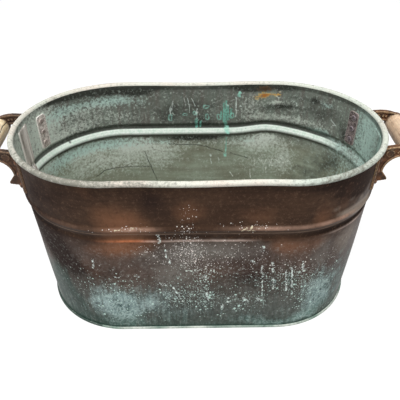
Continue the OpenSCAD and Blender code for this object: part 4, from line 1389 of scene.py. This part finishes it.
def rusty_iron(name, dark, rust, worn):
    """Brown rust over dark iron, with edges pale from wear and a painted highlight."""
    material, tree, coords = start_material(name)
    patches = node(tree, "TexNoise", {"Vector": coords, **RUST_PATCHES}).outputs["Fac"]
    sand = node(tree, "TexNoise", {"Vector": coords, **CASTING_SAND}).outputs["Fac"]
    rusted = node(tree, "MapRange", {"Value": patches, "From Min": 0.42, "From Max": 0.62}).outputs[0]
    colour = node(tree, "Mix", {0: rusted, 6: linear(dark), 7: linear(rust)}, data_type="RGBA").outputs[2]
    pointed = node(tree, "NewGeometry").outputs["Pointiness"]
    worn_and_highlit = node(tree, "Math", {0: sand, 1: 0.08, 2: pointed}, operation="MULTIPLY_ADD").outputs[0]
    edge = node(tree, "MapRange", {"Value": worn_and_highlit, **WORN_AND_HIGHLIT_EDGE}).outputs[0]
    colour = node(tree, "Mix", {0: edge, 6: colour, 7: linear(worn)}, data_type="RGBA").outputs[2]
    hollow = node(tree, "MapRange", {"Value": pointed, **HOLLOW}).outputs[0]
    colour = node(tree, "Mix", {0: hollow, 6: colour, 7: linear("#1E1511")}, data_type="RGBA").outputs[2]
    roughness = node(tree, "MapRange", {"Value": edge, "To Min": 0.75, "To Max": 0.5}).outputs[0]
    finish_material(material, colour, 0.3, roughness, sand, 0.15)
    return material


# Dark, dry brown with grey-brown edges, and a warmer brown with edges that catch the light
rust_brown = rusty_iron("cast_iron_brown_rust", "#36271D", "#5E4230", "#A98D70")
rust_golden_highlit = rusty_iron("cast_iron_golden_rust_highlit", "#3B281C", "#744D31", "#E3C498")
for corner, piece in brackets.items():
    finish = rust_brown if corner.startswith("left") else rust_golden_highlit
    dress(piece, (finish,), corner + "_bracket", "tub")
dress(rim_wire, (rust_brown,), "rim_wire", "tub")
for name in ("left_grip_rod", "right_grip_rod"):
    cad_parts[name].data.materials.clear()
    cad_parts[name].data.materials.append(rust_brown)

# %% [markdown]
# ## Plates and rivets inside
#
# Where a bracket is riveted on, a tinned plate inside spreads the load. The tin has gone dull, pink
# and grey on the left and purple-brown on the right, with a pale crust along the edges. The rivets
# are tinned too, but rusty outside the wall, where their heads hold the brackets. Copies of the
# solids with a fine net take the crust by Pointiness, as the castings do.

# %% Plates and rivets
# Blotches of a few mm. The crust lies on edges that are hardly raised, so its range is narrow.
BLOTCHES = {"Scale": per(4.5), "Detail": 5.0, "Roughness": 0.75}
CRUSTED_EDGE = {"From Min": 0.505, "From Max": 0.535, "To Max": 0.95}


def dull_tin(name, tin, spots, crust):
    """Dull tinned iron with blotches, a pale crust on the edges, and rust outside the wall."""
    material, tree, coords = start_material(name)
    blotches = node(tree, "TexNoise", {"Vector": coords, **BLOTCHES}).outputs["Fac"]
    blotched = node(tree, "MapRange", {"Value": blotches, "From Min": 0.44, "From Max": 0.57}).outputs[0]
    colour = node(tree, "Mix", {0: blotched, 6: linear(tin), 7: linear(spots)}, data_type="RGBA").outputs[2]
    pointed = node(tree, "NewGeometry").outputs["Pointiness"]
    edge = node(tree, "MapRange", {"Value": pointed, **CRUSTED_EDGE}).outputs[0]
    colour = node(tree, "Mix", {0: edge, 6: colour, 7: linear(crust)}, data_type="RGBA").outputs[2]
    outside = node(tree, "Attribute", attribute_name="outside_wall").outputs["Fac"]
    rust = {0: blotched, 6: linear("#4A3326"), 7: linear("#80583C")}
    rust = node(tree, "Mix", rust, data_type="RGBA").outputs[2]
    colour = node(tree, "Mix", {0: outside, 6: colour, 7: rust}, data_type="RGBA").outputs[2]
    finish_material(material, colour, 0.2, 0.6, blotches, 0.25)
    return material


# Tin without its shine: chalky and light on the left, dark and stained on the right
PLATE_TIN = {
    "left": dull_tin("tinned_iron_pink_grey", "#E2D8D1", "#A2968F", "#FFFBF5"),
    "right": dull_tin("tinned_iron_purple_brown", "#9A8C8A", "#483E3E", "#AC9F99"),
}
RIVET_TIN = {
    "left": dull_tin("tinned_rivet_pink_grey", "#B5A69E", "#84766F", "#D3C7BF"),
    "right": dull_tin("tinned_rivet_purple_brown", "#80757A", "#544A4C", "#A0959A"),
}
for corner in CORNERS:
    side = corner.split("_")[0]
    plate = weathered_copy(corner + "_plate", voxel_mm=0.6, rounds=2, skin_mm=0.2, grain_mm=3)
    dress(plate, (PLATE_TIN[side],), corner + "_plate", "tub")
    rivets = weathered_copy(corner + "_rivets", voxel_mm=0.5, rounds=2, skin_mm=0.08, grain_mm=2)
    out = [math.hypot(abs(vertex.co.x) - END_X, vertex.co.y) > TOP_R for vertex in rivets.data.vertices]
    layer = rivets.data.attributes.new("outside_wall", "FLOAT", "POINT")
    layer.data.foreach_set("value", np.array(out, np.float32))
    dress(rivets, (RIVET_TIN[side],), corner + "_rivets", "tub")
print("plates and rivets:", 2 * len(CORNERS))

# %% [markdown]
# ## Turned grips
#
# Each grip is a barrel of pale hardwood, turned with a ring near each end, bored for its rod, and
# long since bare of varnish. It is a lathe form, so a profile is spun round; on the fine mesh, grain
# lines run along it and a few drying cracks open from the ends.

# %% Grip shape
GRIP_D, GRIP_END_D = 33 * MM, 29.5 * MM
RING_INSET, RING_R = 13 * MM, 1.4 * MM
BORE_R = 4.25 * MM
EDGE_R = 1.5 * MM
GRIP_TURNS, GRIP_STEP, EDGE_STEP = 144, 0.8 * MM, 0.4 * MM
GRAIN_WAVES, GRAIN_DEPTH = 40, 0.25 * MM
GRAIN_LINES, GRAIN_DRIFT = (6, 60), 60
# Cracks: place round the grip (degrees), end (-1 front, 1 back), length, width and depth in mm
CRACKS = [
    (35, 1, 46, 1.1, 1.3), (150, -1, 38, 1.0, 1.1), (210, 1, 26, 0.9, 1.0), (80, -1, 30, 1.2, 1.3),
    (300, -1, 50, 0.9, 1.0),
]
# On the right grip they sit further round by some degrees. All wander by an angle, in waves of so many mm.
CRACK_TURN, CRACK_WANDER, CRACK_WAVE = 40, 0.06, 7


def grip_radius(along, half):
    """Radius of the barrel at distances along its axis from the middle, with rings and soft ends."""
    radius = GRIP_D / 2 - (GRIP_D - GRIP_END_D) / 2 * (along / half) ** 2
    ring = np.abs(np.abs(along) - (half - RING_INSET))
    radius -= np.sqrt(np.maximum(RING_R ** 2 - ring ** 2, 0))
    rest = np.maximum(EDGE_R - (half - np.abs(along)), 0)
    return radius - EDGE_R + np.sqrt(np.maximum(EDGE_R ** 2 - rest ** 2, 0))


def open_cracks(along, angle, radius, half, seed):
    """How deep the drying cracks are, in mm, at each angle and distance along a grip."""
    crack = np.zeros((len(angle), len(along)))
    for degrees, end, length, width, depth in CRACKS:
        wander = CRACK_WANDER * np.sin(along / MM / CRACK_WAVE + degrees)
        wander = math.radians(degrees + CRACK_TURN * seed) + wander
        turned = np.abs((angle[:, None] - wander + math.pi) % (2 * math.pi) - math.pi)
        reach = np.clip(1 - (half - end * along) / (length * MM), 0, 1)
        share = np.clip(1 - turned * radius / (width * MM * np.sqrt(reach + 1e-9)), 0, 1)
        crack = np.maximum(crack, share * (reach > 0) * depth)
    return crack


def turned_grip(node_name, seed):
    """A turned grip in the place of a node, with grain and cracks."""
    low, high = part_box(node_name)
    axis_x, axis_z, half = (low.x + high.x) / 2, (low.z + high.z) / 2, (high.y - low.y) / 2
    barrel = steps(-half, (-half + EDGE_R, EDGE_STEP), (half - EDGE_R, GRIP_STEP), (half, EDGE_STEP))
    along = np.concatenate([barrel, [half, -half]])
    radius = np.concatenate([grip_radius(barrel, half), [BORE_R, BORE_R]])
    angle = np.linspace(0, 2 * math.pi, GRIP_TURNS, endpoint=False)
    grain_rng = np.random.default_rng(seed)
    grain = np.zeros((GRIP_TURNS, len(along)))
    for count in grain_rng.integers(*GRAIN_LINES, GRAIN_WAVES):
        drift, phase = grain_rng.uniform(-GRAIN_DRIFT, GRAIN_DRIFT), grain_rng.uniform(0, 2 * math.pi)
        grain += np.sin(count * angle[:, None] + drift * along + phase) / GRAIN_WAVES
    skin = np.arange(len(along)) < len(barrel)
    crack = open_cracks(along, angle, radius, half, seed) * skin
    spun = radius + (GRAIN_DEPTH * grain - MM * crack) * skin
    across, up = spun * np.cos(angle)[:, None], spun * np.sin(angle)[:, None]
    places = np.stack([axis_x + across, np.tile(along, (GRIP_TURNS, 1)), axis_z + up], -1)
    rows = len(along)
    i, j = np.meshgrid(np.arange(GRIP_TURNS), np.arange(rows), indexing="ij")
    i2, j2 = (i + 1) % GRIP_TURNS, (j + 1) % rows
    faces = np.stack([i * rows + j, i * rows + j2, i2 * rows + j2, i2 * rows + j], -1).reshape(-1, 4)
    piece = mesh_piece(node_name + "_turned", places.reshape(-1, 3), faces)
    layer = piece.data.attributes.new("crack", "FLOAT", "POINT")
    layer.data.foreach_set("value", crack.astype(np.float32).ravel())
    return piece


grips = {side: turned_grip(side + "_grip", seed) for seed, side in enumerate(("left", "right"))}
print("each grip has", len(grips["left"].data.polygons), "faces")

# %% [markdown]
# Bare beech is pale, with fine brown lines along the grain. Handling and weather have greyed it, the
# cracks are dark, and iron has stained the ends brown. The grain is drawn about twice as coarse as
# the real one, so that it shows at this distance.

# %% Bare wood
# Fine lines of grain, wider bands and weathered patches, in mm
FINE_GRAIN = {"Scale": per(1.8), "Detail": 5.0, "Roughness": 0.65}
WIDE_GRAIN = {"Scale": per(8), "Detail": 4.0}
WEATHERED = {"Scale": per(14), "Detail": 5.0, "Roughness": 0.6}
GREYED = {"From Min": 0.25, "From Max": 0.42, "To Max": 0.75}
IRON_STAIN, STAIN_WAVER = {"From Min": 48 * MM, "From Max": 55 * MM, "To Max": 0.8}, 8 * MM
OPEN_CRACK = {"From Min": 0.1, "From Max": 0.7, "To Max": 0.9}
ALONG_GRAIN = (1, 0.05, 1)


def bare_beech(name, light, tan, grey):
    """Old bare beech, with grain along y, weathered streaks, dark cracks and stained ends."""
    material, tree, coords = start_material(name)
    stretched = node(tree, "Mapping", {"Vector": coords, "Scale": ALONG_GRAIN}).outputs[0]
    lines = node(tree, "TexNoise", {"Vector": stretched, **FINE_GRAIN}).outputs["Fac"]
    wide = node(tree, "TexNoise", {"Vector": stretched, **WIDE_GRAIN}).outputs["Fac"]
    patches = node(tree, "TexNoise", {"Vector": coords, **WEATHERED}).outputs["Fac"]
    tone = node(tree, "MapRange", {"Value": lines, "From Min": 0.38, "From Max": 0.66}).outputs[0]
    colour = node(tree, "Mix", {0: tone, 6: linear(light), 7: linear(tan)}, data_type="RGBA").outputs[2]
    weather = node(tree, "Math", {0: wide, 1: patches}, operation="MULTIPLY").outputs[0]
    weathered = node(tree, "MapRange", {"Value": weather, **GREYED}).outputs[0]
    colour = node(tree, "Mix", {0: weathered, 6: colour, 7: linear(grey)}, data_type="RGBA").outputs[2]
    along = node(tree, "SeparateXYZ", {0: coords}).outputs["Y"]
    from_middle = node(tree, "Math", {0: along}, operation="ABSOLUTE").outputs[0]
    uneven = {0: patches, 1: STAIN_WAVER, 2: from_middle}
    uneven = node(tree, "Math", uneven, operation="MULTIPLY_ADD").outputs[0]
    stained = node(tree, "MapRange", {"Value": uneven, **IRON_STAIN}).outputs[0]
    colour = node(tree, "Mix", {0: stained, 6: colour, 7: linear("#5E4330")}, data_type="RGBA").outputs[2]
    opened = node(tree, "Attribute", attribute_name="crack").outputs["Fac"]
    gap = node(tree, "MapRange", {"Value": opened, **OPEN_CRACK}).outputs[0]
    colour = node(tree, "Mix", {0: gap, 6: colour, 7: linear("#2E2018")}, data_type="RGBA").outputs[2]
    finish_material(material, colour, 0.0, 0.55, lines, 0.2)
    return material


# Creamy, dry wood on the left; greyer and browner on the right
GRIP_WOOD = {
    "left": bare_beech("bare_beech_cream", "#F8E8C8", "#E5CA9A", "#BFA37C"),
    "right": bare_beech("bare_beech_weathered", "#EBD1B3", "#CBA686", "#9B806A"),
}
for side, piece in grips.items():
    dress(piece, (GRIP_WOOD[side],), side + "_grip", side + "_handle")
